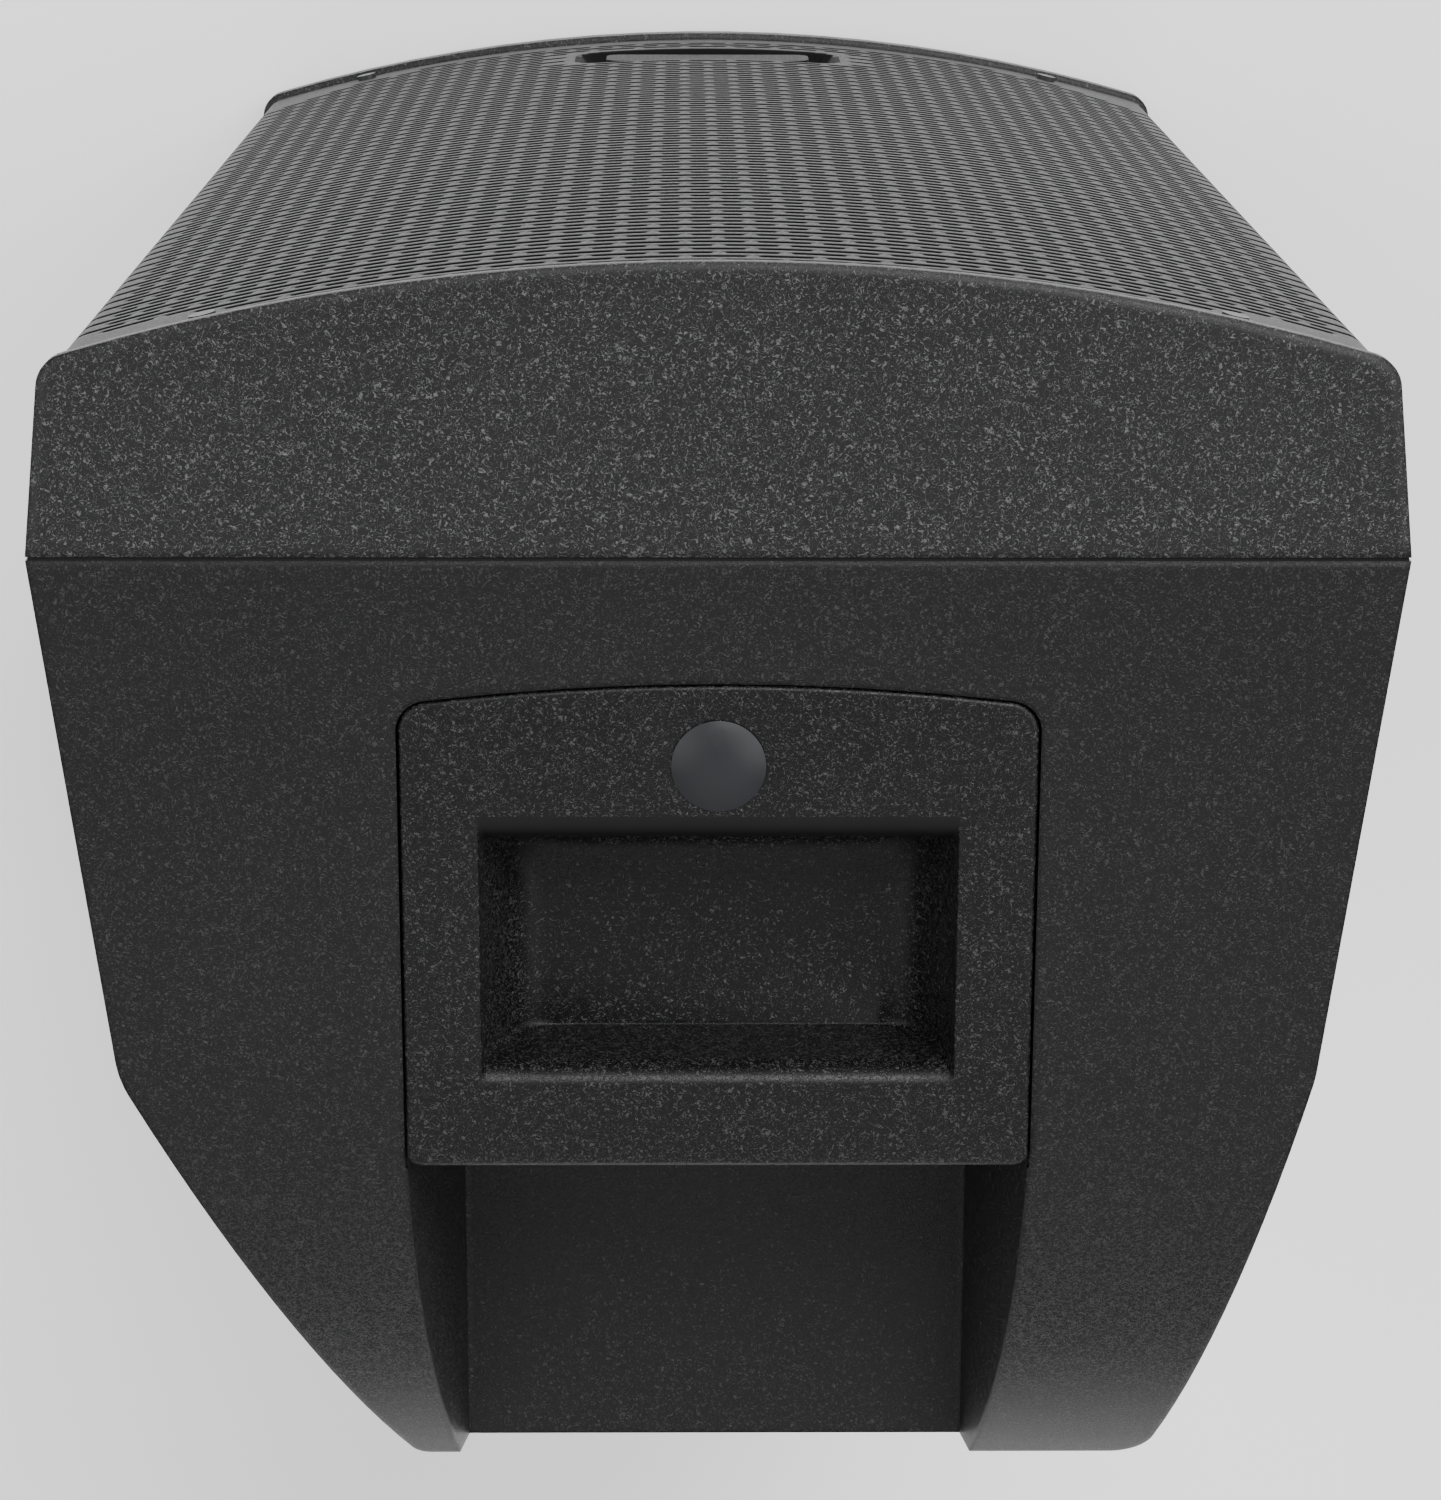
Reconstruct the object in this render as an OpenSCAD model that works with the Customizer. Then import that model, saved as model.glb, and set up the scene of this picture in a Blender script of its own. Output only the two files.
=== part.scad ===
// A moulded two-way loudspeaker cabinet for live sound, standing upright.
// The front faces -Y, +Z is up and the origin is at the middle of the base.
// Two plastic halves meet at a sealed joint. The front half carries the drivers behind a
// curved steel grille, and the back half carries the amplifier, the handle and the stand socket.

/* [Cabinet] */
// Height over the rubber feet
cabinet_height = 602; // [601:1:603]
// Width at the joint between the two halves
cabinet_width = 356; // [355:1:356]

/* [Grille] */
// Thickness of the perforated steel sheet
grille_thickness = 1.5; // [1.2:0.1:1.6]
// How far the front lip stands proud of the grille
lip_height = 2; // [1.8:0.1:2.2]

/* [Handle] */
// Depth of the hand pocket
pocket_depth = 32; // [30:1:34]

/* [Sockets] */
// Inside radius of the socket for a stand pole
pole_radius = 17.9; // [17.75:0.05:18]
// Wall radius of the threaded rigging hole
rigging_radius = 4.25; // [4.2:0.05:4.3]
// Inside radius of the jack sockets
jack_radius = 3.25; // [3.22:0.01:3.3]

/* [Controls] */
// Radius of the control knobs
knob_radius = 9; // [8:0.5:10]

/* [Hidden] */

far = 500;
smooth = 96;
small = 48;

// Depth from the crown of the front lip to the back, and thickness of the moulded walls
cabinet_depth = 358;
wall = 5;

// Levels and depths of the cabinet
foot_height = 8;
base_z = foot_height;
top_z = cabinet_height;
crown_y = -cabinet_depth / 2;
back_y = cabinet_depth / 2;
joint_y = crown_y + 76.4;
knee_y = crown_y + 220;
joint_gap = 1;

// Outline of the front half seen from above: a wide arc with a rounded corner at each end
arc_radius = 600;
corner_radius = 9;
half_width = cabinet_width / 2;
front_half_width = half_width - 5.2;
arc_centre = [0, crown_y + arc_radius];
joint_point = [half_width, joint_y];
side_vector = [front_half_width, crown_y + 24] - joint_point;
side_way = side_vector / norm(side_vector);
side_normal = [-side_way.y, side_way.x];
corner_start = joint_point - corner_radius * side_normal - arc_centre;
corner_run = -(corner_start * side_way)
  + sqrt(pow(corner_start * side_way, 2) - corner_start * corner_start
    + pow(arc_radius - corner_radius, 2));
corner_centre = joint_point - corner_radius * side_normal + corner_run * side_way;
corner_way = (corner_centre - arc_centre) / norm(corner_centre - arc_centre);

// Outline of the back half seen from above: one wing is cut away far more than the other,
// so the cabinet can lie on that side as a floor monitor
knee_half = 160;
monitor_corner = [86, back_y];
wide_corner = [-124, back_y];
monitor_vector = monitor_corner - [knee_half, knee_y];
monitor_turn = atan2(-monitor_vector.x, monitor_vector.y);

// Draft of the top away from the joint, and the arc by which the top rolls down at the back
front_draft = 1.5;
top_draft = 2;
roll_radius = 200;
roll_way = [sin(top_draft), cos(top_draft)];
roll_start = [joint_y + (knee_y - joint_y) * cos(top_draft), top_z - (knee_y - joint_y) * sin(top_draft)];
roll_centre = roll_start - roll_radius * roll_way;

// Lips that hold the grille
top_lip_z = top_z - 6;
base_lip_z = base_z + 9;
grille_flange_y = crown_y + 33;
grille_gap = 0.4;

// Baffle, set back from the grille
baffle_front = crown_y + 37;
baffle_thickness = 6;
baffle_back = baffle_front + baffle_thickness;

// Handle plate, measured back from the joint in the plane of the sloping top
plate_half = 83.5;
plate_front = 34;
plate_back = 169.8;
plate_thickness = 4;
plate_arc = 636;
plate_corner = 8;
pocket_half = 63;
pocket_front = 75.8;
pocket_back = 141;
pocket_floor_half = 47;
pocket_floor_front = 88;
pocket_fold_half = 59;
pocket_fold_front = 79;
pocket_fold_drop = 13;
cup_wall = 3;
seam = 0.6;
cap_back = 55.7;
cap_radius = 12.4;

// Open channel behind the grip, with sloping sides
channel_top_half = 85;
channel_floor_half = 72;
channel_floor_z = top_z - 80;
channel_front = 160.5;
channel_wall = 4;

// Drivers
woofer_z = 190;
horn_z = 467;
woofer_bolts = 8;
woofer_bolt_circle = 148;
port_x = 128;
port_z = 345;

// Amplifier panel
panel_x = -20;
panel_half = 93;
panel_low = 55;
panel_high = 425;
panel_face = back_y - 10;
panel_thickness = 3;
panel_back = panel_face - panel_thickness;
ledge = 10;
jack_z = 312;
jack_spread = 42;
knob_z = 388;
knob_spread = 55;
button_z = 355;
button_spread = 26;
output_z = 258;
mains_z = 84;
inlet_x = 22;
switch_x = -62;
sink_low = 118;
sink_high = 222;

// ---- plain helpers ----

module block(x0, x1, y0, y1, z0, z1) {
  translate([x0, y0, z0]) cube([x1 - x0, y1 - y0, z1 - z0]);
}

// A round bar along Y
module bar_y(x, z, r, y0, y1, fn = small) {
  translate([x, y1, z]) rotate([90, 0, 0]) cylinder(r = r, h = y1 - y0, $fn = fn);
}

module bar_z(x, y, r, z0, z1, fn = small) {
  translate([x, y, z0]) cylinder(r = r, h = z1 - z0, $fn = fn);
}

// A block with round corners seen along Y
module soft_block_y(x0, x1, y0, y1, z0, z1, r) {
  block(x0 + r, x1 - r, y0, y1, z0, z1);
  block(x0, x1, y0, y1, z0 + r, z1 - r);
  for (x = [x0 + r, x1 - r])
    for (z = [z0 + r, z1 - r])
      bar_y(x, z, r, y0, y1);
}

// A block that narrows with depth, from one rectangle on top to another below
module tapered_block(top_x, low_x, top_y, low_y, z0, z1) {
  intersection() {
    translate([0, far, 0])
      rotate([90, 0, 0])
        linear_extrude(height = 2 * far)
          polygon([[low_x[0], z0], [low_x[1], z0], [top_x[1], z1], [top_x[0], z1]]);
    translate([-far, 0, 0])
      rotate([90, 0, 90])
        linear_extrude(height = 2 * far)
          polygon([[low_y[0], z0], [low_y[1], z0], [top_y[1], z1], [top_y[0], z1]]);
  }
}

module both_sides() {
  children();
  mirror([1, 0, 0]) children();
}

// The plane of the sloping top, with y counted back from the joint and z = 0 on the surface
module on_top() {
  translate([0, joint_y, top_z]) rotate([-top_draft, 0, 0]) children();
}

// A place on the outer face of the grille, with -Y pointing straight out of it
module on_grille(x, z) {
  face_radius = arc_radius - lip_height;
  translate([arc_centre.x, arc_centre.y, z])
    rotate([0, 0, asin(x / face_radius)])
      translate([0, -face_radius, 0])
        children();
}

// Driver axes: z points out of the baffle
module on_baffle(x, z) {
  translate([x, baffle_front, z]) rotate([90, 0, 0]) children();
}

// A place on the sloping monitor side, with +X pointing straight out of it
module on_monitor_side(along, z) {
  spot = [knee_half, knee_y] + along * monitor_vector / norm(monitor_vector);
  translate([spot.x, spot.y, z]) rotate([0, 0, monitor_turn]) children();
}

// ---- the two halves ----

module front_plan(inset, back) {
  corner_r = corner_radius - inset;
  arc_r = arc_radius - inset;
  arc_end = arc_centre + arc_r * corner_way;
  side_end = corner_centre + corner_r * side_normal;
  side_back = side_end - side_way * ((back - side_end.y) / -side_way.y);
  intersection() {
    translate(arc_centre) circle(r = arc_r, $fn = 720);
    translate([-arc_end.x, crown_y - 1]) square([2 * arc_end.x, arc_end.y - crown_y + 1]);
  }
  polygon([
    arc_end, side_end, side_back, [-side_back.x, side_back.y],
    [-side_end.x, side_end.y], [-arc_end.x, arc_end.y]
  ]);
  translate(corner_centre) circle(r = corner_r, $fn = smooth);
  translate([-corner_centre.x, corner_centre.y]) circle(r = corner_r, $fn = smooth);
}

module front_solid(inset, back, z0, z1) {
  translate([0, 0, z0]) linear_extrude(height = z1 - z0) front_plan(inset, back);
}

// Wedge that gives the front of the top its draft
module front_draft_cut() {
  translate([0, joint_y, top_z])
    rotate([front_draft, 0, 0])
      translate([-far, -far, 0]) cube([2 * far, far, far / 4]);
}

screw_spots = [for (x = [-164, 164]) for (z = [36, 322, 572]) [x, z]];
grille_screw_spots = [for (x = [-132, 132]) for (z = [base_lip_z + 9, top_lip_z - 8]) [x, z]];

module front_frame() {
  inner = half_width - wall;
  color([0.16, 0.16, 0.17])
    difference() {
      union() {
        difference() {
          front_solid(0, joint_y - joint_gap / 2, base_z, top_z);
          front_draft_cut();
          // space behind the baffle
          translate([0, 0, base_z + wall])
            linear_extrude(height = top_z - base_z - 2 * wall - 2)
              polygon([
                [front_half_width - wall + 1.2, baffle_back], [inner, joint_y + 1],
                [-inner, joint_y + 1], [-front_half_width + wall - 1.2, baffle_back]
              ]);
          // space for the grille between the two lips
          block(-far, far, crown_y - 1, grille_flange_y, base_lip_z, top_lip_z);
          block(-front_half_width + wall, front_half_width - wall,
            grille_flange_y - 1, baffle_front, base_lip_z, top_lip_z);
        }
        for (s = screw_spots)
          bar_y(s.x, s.y, 6, baffle_back - 1, joint_y - joint_gap / 2);
        // lugs that the grille screws bite into
        for (s = grille_screw_spots)
          block(s.x - 6, s.x + 6, crown_y + 20, baffle_front + 1, s.y - 6, s.y + 6);
      }
      on_baffle(0, woofer_z) translate([0, 0, -20]) cylinder(r = 141, h = 40, $fn = 144);
      block(-142, 142, baffle_front - 2, baffle_back + 2, horn_z - 85, horn_z + 85);
      for (side = [-1, 1])
        bar_y(side * port_x, port_z, 20.2, baffle_front - 2, baffle_back + 2);
      for (s = screw_spots)
        bar_y(s.x, s.y, 2.7, baffle_front - 2, joint_y + 1);
      for (s = screw_spots)
        bar_y(s.x, s.y, 5.2, baffle_front - 1, baffle_front + 3.1);
      for (s = grille_screw_spots)
        on_grille(s.x, s.y) bar_y(0, 0, 1.8, -1, 14);
      for (s = foot_spots) bar_z(s.x, s.y, 1.8, base_z - 1, base_z + 4);
      woofer_holes(2.2);
      horn_holes(2);
    }
}

function inset_line(p, q, inset) =
  let (way = (q - p) / norm(q - p), out = [way.y, -way.x])
    [p - inset * out, way];

function meet(a, b) =
  let (d = a[1].x * b[1].y - a[1].y * b[1].x, gap = b[0] - a[0])
    a[0] + a[1] * ((gap.x * b[1].y - gap.y * b[1].x) / d);

// Corners of the back half, going round from the monitor side to the wide side
function back_corners(inset, front) =
  let (
    a = inset_line([half_width, joint_y], [knee_half, knee_y], inset),
    b = inset_line([knee_half, knee_y], monitor_corner, inset),
    c = inset_line(monitor_corner, wide_corner, inset),
    d = inset_line(wide_corner, [-knee_half, knee_y], inset),
    e = inset_line([-knee_half, knee_y], [-half_width, joint_y], inset),
    edge = [[0, front], [1, 0]]
  )
    [meet(edge, a), meet(a, b), meet(b, c), meet(c, d), meet(d, e), meet(e, edge)];

// A polygon with its corners rounded by true arcs
module soft_polygon(points, radii) {
  n = len(points);
  turn = [for (i = [0:n - 1])
    let (
      v = points[i],
      p = points[(i + n - 1) % n] - v,
      q = points[(i + 1) % n] - v,
      a = p / norm(p),
      b = q / norm(q),
      half = acos(a * b) / 2,
      mid = (a + b) / norm(a + b)
    )
      [v + a * radii[i] / tan(half), v + b * radii[i] / tan(half), v + mid * radii[i] / sin(half)]];
  polygon([for (i = [0:n - 1]) each radii[i] > 0 ? [turn[i][0], turn[i][1]] : [points[i]]]);
  for (i = [0:n - 1])
    if (radii[i] > 0)
      translate(turn[i][2]) circle(r = radii[i], $fn = smooth);
}

// Side view of the back half, swept across: a sloping top that rolls down towards the back
module back_sweep(inset, front) {
  low = base_z + inset;
  r = roll_radius - inset;
  start = roll_centre + r * roll_way;
  ahead = start.x - front;
  translate([-far, 0, 0])
    rotate([90, 0, 90])
      linear_extrude(height = 2 * far)
        polygon([
          [front, low], [front, start.y + ahead * tan(top_draft)], start,
          roll_centre, roll_centre + [r + 5, 0], [roll_centre.x + r + 5, low]
        ]);
  translate([-far, roll_centre.x, roll_centre.y])
    rotate([0, 90, 0]) cylinder(r = r, h = 2 * far, $fn = 360);
}

// The back half as a full solid, inset on every side
module back_solid(inset, front) {
  corner = max(12 - inset, 3);
  knee = max(30 - inset, 3);
  intersection() {
    linear_extrude(height = top_z + 20)
      soft_polygon(back_corners(inset, front), [0, knee, max(6 - inset, 1), corner, knee, 0]);
    back_sweep(inset, front);
  }
}

module channel(extra) {
  translate([0, joint_y, 0])
    tapered_block(
      [-channel_top_half - extra, channel_top_half + extra],
      [-channel_floor_half - extra, channel_floor_half + extra],
      [channel_front - extra, far], [channel_front - extra, far],
      channel_floor_z - extra, top_z
    );
}

module channel_lining() {
  intersection() {
    back_solid(0, joint_y + joint_gap / 2);
    channel(channel_wall);
  }
}

// Outline of the handle plate: a shallow arc in front with a rounded corner at each end
module plate_plan(extra) {
  corner_r = plate_corner + extra;
  arc_r = plate_arc + extra;
  side = plate_half + extra;
  back = plate_back + extra;
  centre_y = plate_front + plate_arc;
  corner_x = side - corner_r;
  corner_y = centre_y - sqrt(pow(arc_r - corner_r, 2) - pow(corner_x, 2));
  arc_end = [0, centre_y] + [corner_x, corner_y - centre_y] * arc_r / (arc_r - corner_r);
  intersection() {
    translate([0, centre_y]) circle(r = arc_r, $fn = 720);
    translate([-arc_end.x, plate_front - extra - 1])
      square([2 * arc_end.x, arc_end.y - plate_front + extra + 1]);
  }
  polygon([
    arc_end, [side, corner_y], [side, back], [-side, back], [-side, corner_y], [-arc_end.x, arc_end.y]
  ]);
  for (x = [-corner_x, corner_x])
    translate([x, corner_y]) circle(r = corner_r, $fn = small);
}

module rear_shell() {
  color([0.13, 0.13, 0.14])
    difference() {
      union() {
        difference() {
          back_solid(0, joint_y + joint_gap / 2);
          back_solid(wall, joint_y - 1);
        }
        channel_lining();
        for (s = screw_spots)
          bar_y(s.x, s.y, 6, joint_y + joint_gap / 2, joint_y + 24);
        // thick frame round the amplifier panel
        block(panel_x - panel_half - 6, panel_x + panel_half + 6,
          panel_back - 8, back_y - wall + 1, panel_low - 6, panel_high + 6);
        // collar round the stand socket
        bar_z(0, 0, 28, base_z, base_z + 12);
      }
      channel(0);
      // seat and hole for the handle moulding
      on_top() translate([0, 0, -plate_thickness - 0.1])
        linear_extrude(height = far / 8) plate_plan(seam);
      on_top() block(-pocket_half - cup_wall - 1.5, pocket_half + cup_wall + 1.5,
        pocket_front - cup_wall - 1.5, pocket_back + cup_wall + 1.5, -14, 1);
      on_top() bar_z(0, cap_back, 11.2, -30, 1);
      on_top() for (s = handle_screw_spots) bar_z(s.x, s.y, 2.2, -30, 1);
      // seat and opening for the amplifier panel
      block(panel_x - panel_half - 0.3, panel_x + panel_half + 0.3,
        panel_back, back_y + 1, panel_low - 0.3, panel_high + 0.3);
      block(panel_x - panel_half + ledge, panel_x + panel_half - ledge,
        back_y - 40, back_y, panel_low + ledge, panel_high - ledge);
      for (s = panel_screw_spots) bar_y(s.x, s.y, 1.6, panel_back - 7, back_y);
      for (s = screw_spots) bar_y(s.x, s.y, 2.1, joint_y - 1, joint_y + 20);
      bar_z(0, 0, 21.8, base_z - 1, base_z + 30);
      for (s = pole_screw_spots) bar_z(s.x, s.y, 1.8, base_z - 1, base_z + 11);
      for (s = foot_spots) bar_z(s.x, s.y, 1.8, base_z - 1, base_z + 4);
    }
}

module shell_gasket() {
  color([0.04, 0.04, 0.04])
    difference() {
      block(-half_width + 0.6, half_width - 0.6, joint_y - joint_gap / 2, joint_y + joint_gap / 2,
        base_z + 0.6, top_z - 0.6);
      block(-half_width + wall - 0.5, half_width - wall + 0.5, joint_y - 2, joint_y + 2,
        base_z + wall - 0.5, top_z - wall + 0.5);
    }
}

module shell_screws() {
  color([0.3, 0.3, 0.31])
    for (s = screw_spots) {
      bar_y(s.x, s.y, 5, baffle_front + 0.4, baffle_front + 3.1);
      bar_y(s.x, s.y, 2.05, baffle_front + 3, joint_y + 18);
    }
}

// ---- grille ----

badge_half = 48;
badge_low = 56;
badge_high = 93;
badge_floor = crown_y + 5.5;

module grille() {
  t = grille_thickness;
  low = base_lip_z + grille_gap;
  high = top_lip_z - grille_gap;
  back = grille_flange_y - grille_gap;
  color([0.2, 0.2, 0.21])
    difference() {
      union() {
        difference() {
          front_solid(lip_height, back, low, high);
          front_solid(lip_height + t, back + 1, low + t, high - t);
          // the ends are only folded back a short way
          block(-155, 155, crown_y + 27, back + 1, low - 1, high + 1);
          block(-far, far, crown_y + 22, back + 1, low - 1, low + t + 0.01);
          block(-far, far, crown_y + 22, back + 1, high - t - 0.01, high + 1);
          soft_block_y(-badge_half, badge_half, crown_y - 1, crown_y + 12, badge_low, badge_high, 9);
          // the rounded corners end flush with the side flanges
          block(-far, far, back, back + 20, low - 1, high + 1);
        }
        intersection() {
          front_solid(lip_height, back, low, high);
          difference() {
            soft_block_y(-badge_half - t, badge_half + t, crown_y, badge_floor + t,
              badge_low - t, badge_high + t, 9 + t);
            soft_block_y(-badge_half, badge_half, crown_y - 1, badge_floor,
              badge_low, badge_high, 9);
          }
        }
      }
      for (s = grille_screw_spots)
        on_grille(s.x, s.y) bar_y(0, 0, 2.1, -2, 4);
      // folded ends clear the screw lugs
      for (s = grille_screw_spots)
        block(s.x - 7, s.x + 7, crown_y + 19.5, crown_y + 40, s.y - 16, s.y + 16);
    }
}

module grille_cloth() {
  front_r = arc_radius - lip_height - grille_thickness - 0.05;
  low = base_lip_z + 22;
  color([0.05, 0.05, 0.05])
    difference() {
      translate([0, 0, low])
        linear_extrude(height = top_lip_z - 22 - low)
          intersection() {
            translate(arc_centre)
              difference() {
                circle(r = front_r, $fn = 720);
                circle(r = front_r - 1, $fn = 720);
              }
            translate([-158, crown_y]) square([316, 40]);
          }
      soft_block_y(-badge_half - 3, badge_half + 3, crown_y - 1, crown_y + 12,
        badge_low - 3, badge_high + 3, 12);
    }
}

module grille_screws() {
  color([0.12, 0.12, 0.12])
    for (s = grille_screw_spots)
      on_grille(s.x, s.y) {
        bar_y(0, 0, 3.6, -1.6, 0);
        bar_y(0, 0, 1.75, -0.5, 12);
      }
}

module badge_plate() {
  color([0.55, 0.55, 0.57])
    soft_block_y(-38, 38, badge_floor - 2, badge_floor, 63, 86, 6);
}

// ---- handle and rigging ----

handle_screw_spots = [for (x = [-76, 76]) for (y = [50, 100, 150]) [x, y]];

// The hand pocket has steep walls down to a fold, and flatter ones from there to its floor
module pocket_solid(extra, top) {
  fold_z = -pocket_depth + pocket_fold_drop;
  tapered_block(
    [-pocket_half - extra, pocket_half + extra],
    [-pocket_fold_half - extra, pocket_fold_half + extra],
    [pocket_front - extra, pocket_back + extra],
    [pocket_fold_front - extra, pocket_back + extra],
    fold_z, top
  );
  tapered_block(
    [-pocket_fold_half - extra, pocket_fold_half + extra],
    [-pocket_floor_half - extra, pocket_floor_half + extra],
    [pocket_fold_front - extra, pocket_back + extra],
    [pocket_floor_front - extra, pocket_back + extra],
    -pocket_depth - extra, fold_z + 0.01
  );
}

module handle_cup() {
  color([0.14, 0.14, 0.15])
    on_top()
      difference() {
        union() {
          translate([0, 0, -plate_thickness]) linear_extrude(height = plate_thickness) plate_plan(0);
          pocket_solid(cup_wall, -1);
          // the grip turns down over the front wall of the channel
          block(-plate_half + 3, plate_half - 3, channel_front + 0.8, plate_back, -13, -1);
          for (s = handle_screw_spots) bar_z(s.x, s.y, 4, -plate_thickness, -1);
        }
        pocket_solid(0, 0.01);
        // sloping front edge of the pocket
        translate([-pocket_half, 0, 0])
          rotate([90, 0, 90])
            linear_extrude(height = 2 * pocket_half)
              polygon([
                [pocket_front - 3.5, 1], [pocket_front - 3.5, 0], [pocket_front + 1, -5],
                [pocket_front + 8, -5], [pocket_front + 8, 1]
              ]);
        bar_z(0, cap_back, 8, -30, 1);
        for (s = handle_screw_spots) bar_z(s.x, s.y, 1.5, -30, -1.2);
      }
}

module handle_screws() {
  color([0.3, 0.3, 0.31])
    on_top()
      for (s = handle_screw_spots) {
        bar_z(s.x, s.y, 1.45, -12, -1.5);
        bar_z(s.x, s.y, 3.5, -14, -wall - 5);
      }
}

module rigging_cap() {
  dome = 30;
  color([0.17, 0.18, 0.2])
    on_top()
      translate([0, cap_back, 0]) {
        intersection() {
          translate([0, 0, 3 - dome]) sphere(r = dome, $fn = smooth);
          bar_z(0, 0, cap_radius, 0.3, 10);
        }
        difference() {
          bar_z(0, 0, 7.6, -2.6, 0.35);
          bar_z(0, 0, 5.6, -3, 0);
        }
      }
}

module rigging_insert() {
  color([0.6, 0.6, 0.62])
    on_top()
      difference() {
        union() {
          bar_z(0, cap_back, 11, -24, -plate_thickness - 0.2);
          bar_z(0, cap_back, 15, -26, -wall - 1);
        }
        bar_z(0, cap_back, rigging_radius, -30, 1);
      }
}

// ---- high frequency horn ----

horn_screw_spots = [for (x = [-145, 0, 145]) for (z = [-88.5, 88.5]) [x, z]];

module horn_holes(r) {
  on_baffle(0, horn_z)
    for (s = horn_screw_spots)
      translate([s.x, s.y, -12]) cylinder(r = r, h = 30, $fn = small);
}

module horn() {
  color([0.08, 0.08, 0.08])
    difference() {
      on_baffle(0, horn_z)
        difference() {
          union() {
            translate([-150, -93, 0]) cube([300, 186, 4]);
            tapered_block([-141, 141], [-16, 16], [-84, 84], [-16, 16], -100, 0.5);
            translate([0, 0, -106]) cylinder(r = 40, h = 6, $fn = smooth);
          }
          tapered_block([-138, 138], [-12, 12], [-81, 81], [-12, 12], -100.5, 4.01);
          translate([0, 0, -107]) cylinder(r = 12.7, h = 8, $fn = small);
        }
      horn_holes(2.4);
    }
}

module compression_driver() {
  color([0.1, 0.1, 0.1])
    on_baffle(0, horn_z)
      difference() {
        union() {
          translate([0, 0, -118]) cylinder(r = 42, h = 12, $fn = smooth);
          translate([0, 0, -146]) cylinder(r = 46, h = 28, $fn = smooth);
          translate([0, 0, -156]) cylinder(r = 38, h = 10, $fn = smooth);
        }
        translate([0, 0, -114]) cylinder(r = 12.7, h = 9, $fn = small);
      }
}

module horn_screws() {
  color([0.2, 0.2, 0.2])
    on_baffle(0, horn_z)
      for (s = horn_screw_spots) {
        translate([s.x, s.y, 4]) cylinder(r = 3.6, h = 2.2, $fn = small);
        translate([s.x, s.y, -5]) cylinder(r = 1.95, h = 9.5, $fn = small);
      }
}

// ---- low frequency driver ----

module woofer_holes(r) {
  on_baffle(0, woofer_z)
    for (i = [0:woofer_bolts - 1])
      rotate([0, 0, (i + 0.5) * 360 / woofer_bolts])
        translate([woofer_bolt_circle, 0, -12]) cylinder(r = r, h = 30, $fn = small);
}

module woofer_basket() {
  windows = 6;
  color([0.09, 0.09, 0.09])
    difference() {
      on_baffle(0, woofer_z)
        difference() {
          rotate_extrude($fn = 144)
            polygon([
              [155, 0], [155, 6], [140, 6], [136, -2], [77, -60], [42, -60],
              [42, -64], [80, -64], [139.5, -4], [139.5, 0]
            ]);
          for (i = [0:windows - 1])
            rotate([0, 0, i * 360 / windows])
              translate([92, -24, -50]) cube([30, 48, 38]);
        }
      woofer_holes(2.5);
    }
}

module woofer_magnet() {
  color([0.2, 0.2, 0.21])
    on_baffle(0, woofer_z)
      rotate_extrude($fn = 144)
        polygon([
          [0, -98], [72, -98], [72, -90], [78, -90], [78, -72], [72, -72], [72, -64],
          [28, -64], [28, -90], [24.5, -90], [24.5, -62], [0, -62]
        ]);
}

module woofer_cone() {
  color([0.07, 0.07, 0.08])
    on_baffle(0, woofer_z)
      rotate_extrude($fn = 144)
        polygon([[26.8, -38], [122, 4.6], [122, 6], [26.8, -36.4]]);
}

module dust_cap() {
  ball = 60;
  rim = 44;
  glue = -28.6;
  color([0.07, 0.07, 0.08])
    on_baffle(0, woofer_z)
      intersection() {
        translate([0, 0, glue - sqrt(ball * ball - rim * rim)])
          difference() {
            sphere(r = ball, $fn = smooth);
            sphere(r = ball - 1.2, $fn = smooth);
          }
        translate([0, 0, glue]) cylinder(r = rim + 10, h = 40, $fn = smooth);
      }
}

module voice_coil() {
  color([0.6, 0.4, 0.2])
    on_baffle(0, woofer_z)
      translate([0, 0, -84])
        difference() {
          cylinder(r = 26.8, h = 48, $fn = smooth);
          translate([0, 0, -1]) cylinder(r = 25.4, h = 50, $fn = smooth);
        }
}

module woofer_surround() {
  roll = 6.5;
  color([0.05, 0.05, 0.05])
    on_baffle(0, woofer_z)
      rotate_extrude($fn = 144) {
        intersection() {
          translate([129, 6]) difference() {
            circle(r = roll, $fn = small);
            circle(r = roll - 1.2, $fn = small);
          }
          translate([110, 6]) square([40, 20]);
        }
        translate([117, 6]) square([6.6, 1.2]);
        translate([134.4, 6]) square([6.2, 1.2]);
      }
}

module woofer_spider() {
  color([0.45, 0.38, 0.25])
    on_baffle(0, woofer_z)
      rotate_extrude($fn = 144)
        polygon([
          [26.9, -55], [34, -53], [42, -57], [50, -53], [58, -57], [66, -58.8], [75, -58.8],
          [75, -60], [66, -60], [58, -58.2], [50, -54.2], [42, -58.2], [34, -54.2], [26.9, -56.2]
        ]);
}

module woofer_gasket() {
  color([0.05, 0.05, 0.05])
    difference() {
      on_baffle(0, woofer_z)
        translate([0, 0, 6])
          difference() {
            cylinder(r = 154.5, h = 2, $fn = 144);
            translate([0, 0, -1]) cylinder(r = 141, h = 4, $fn = 144);
          }
      woofer_holes(2.5);
    }
}

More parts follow.
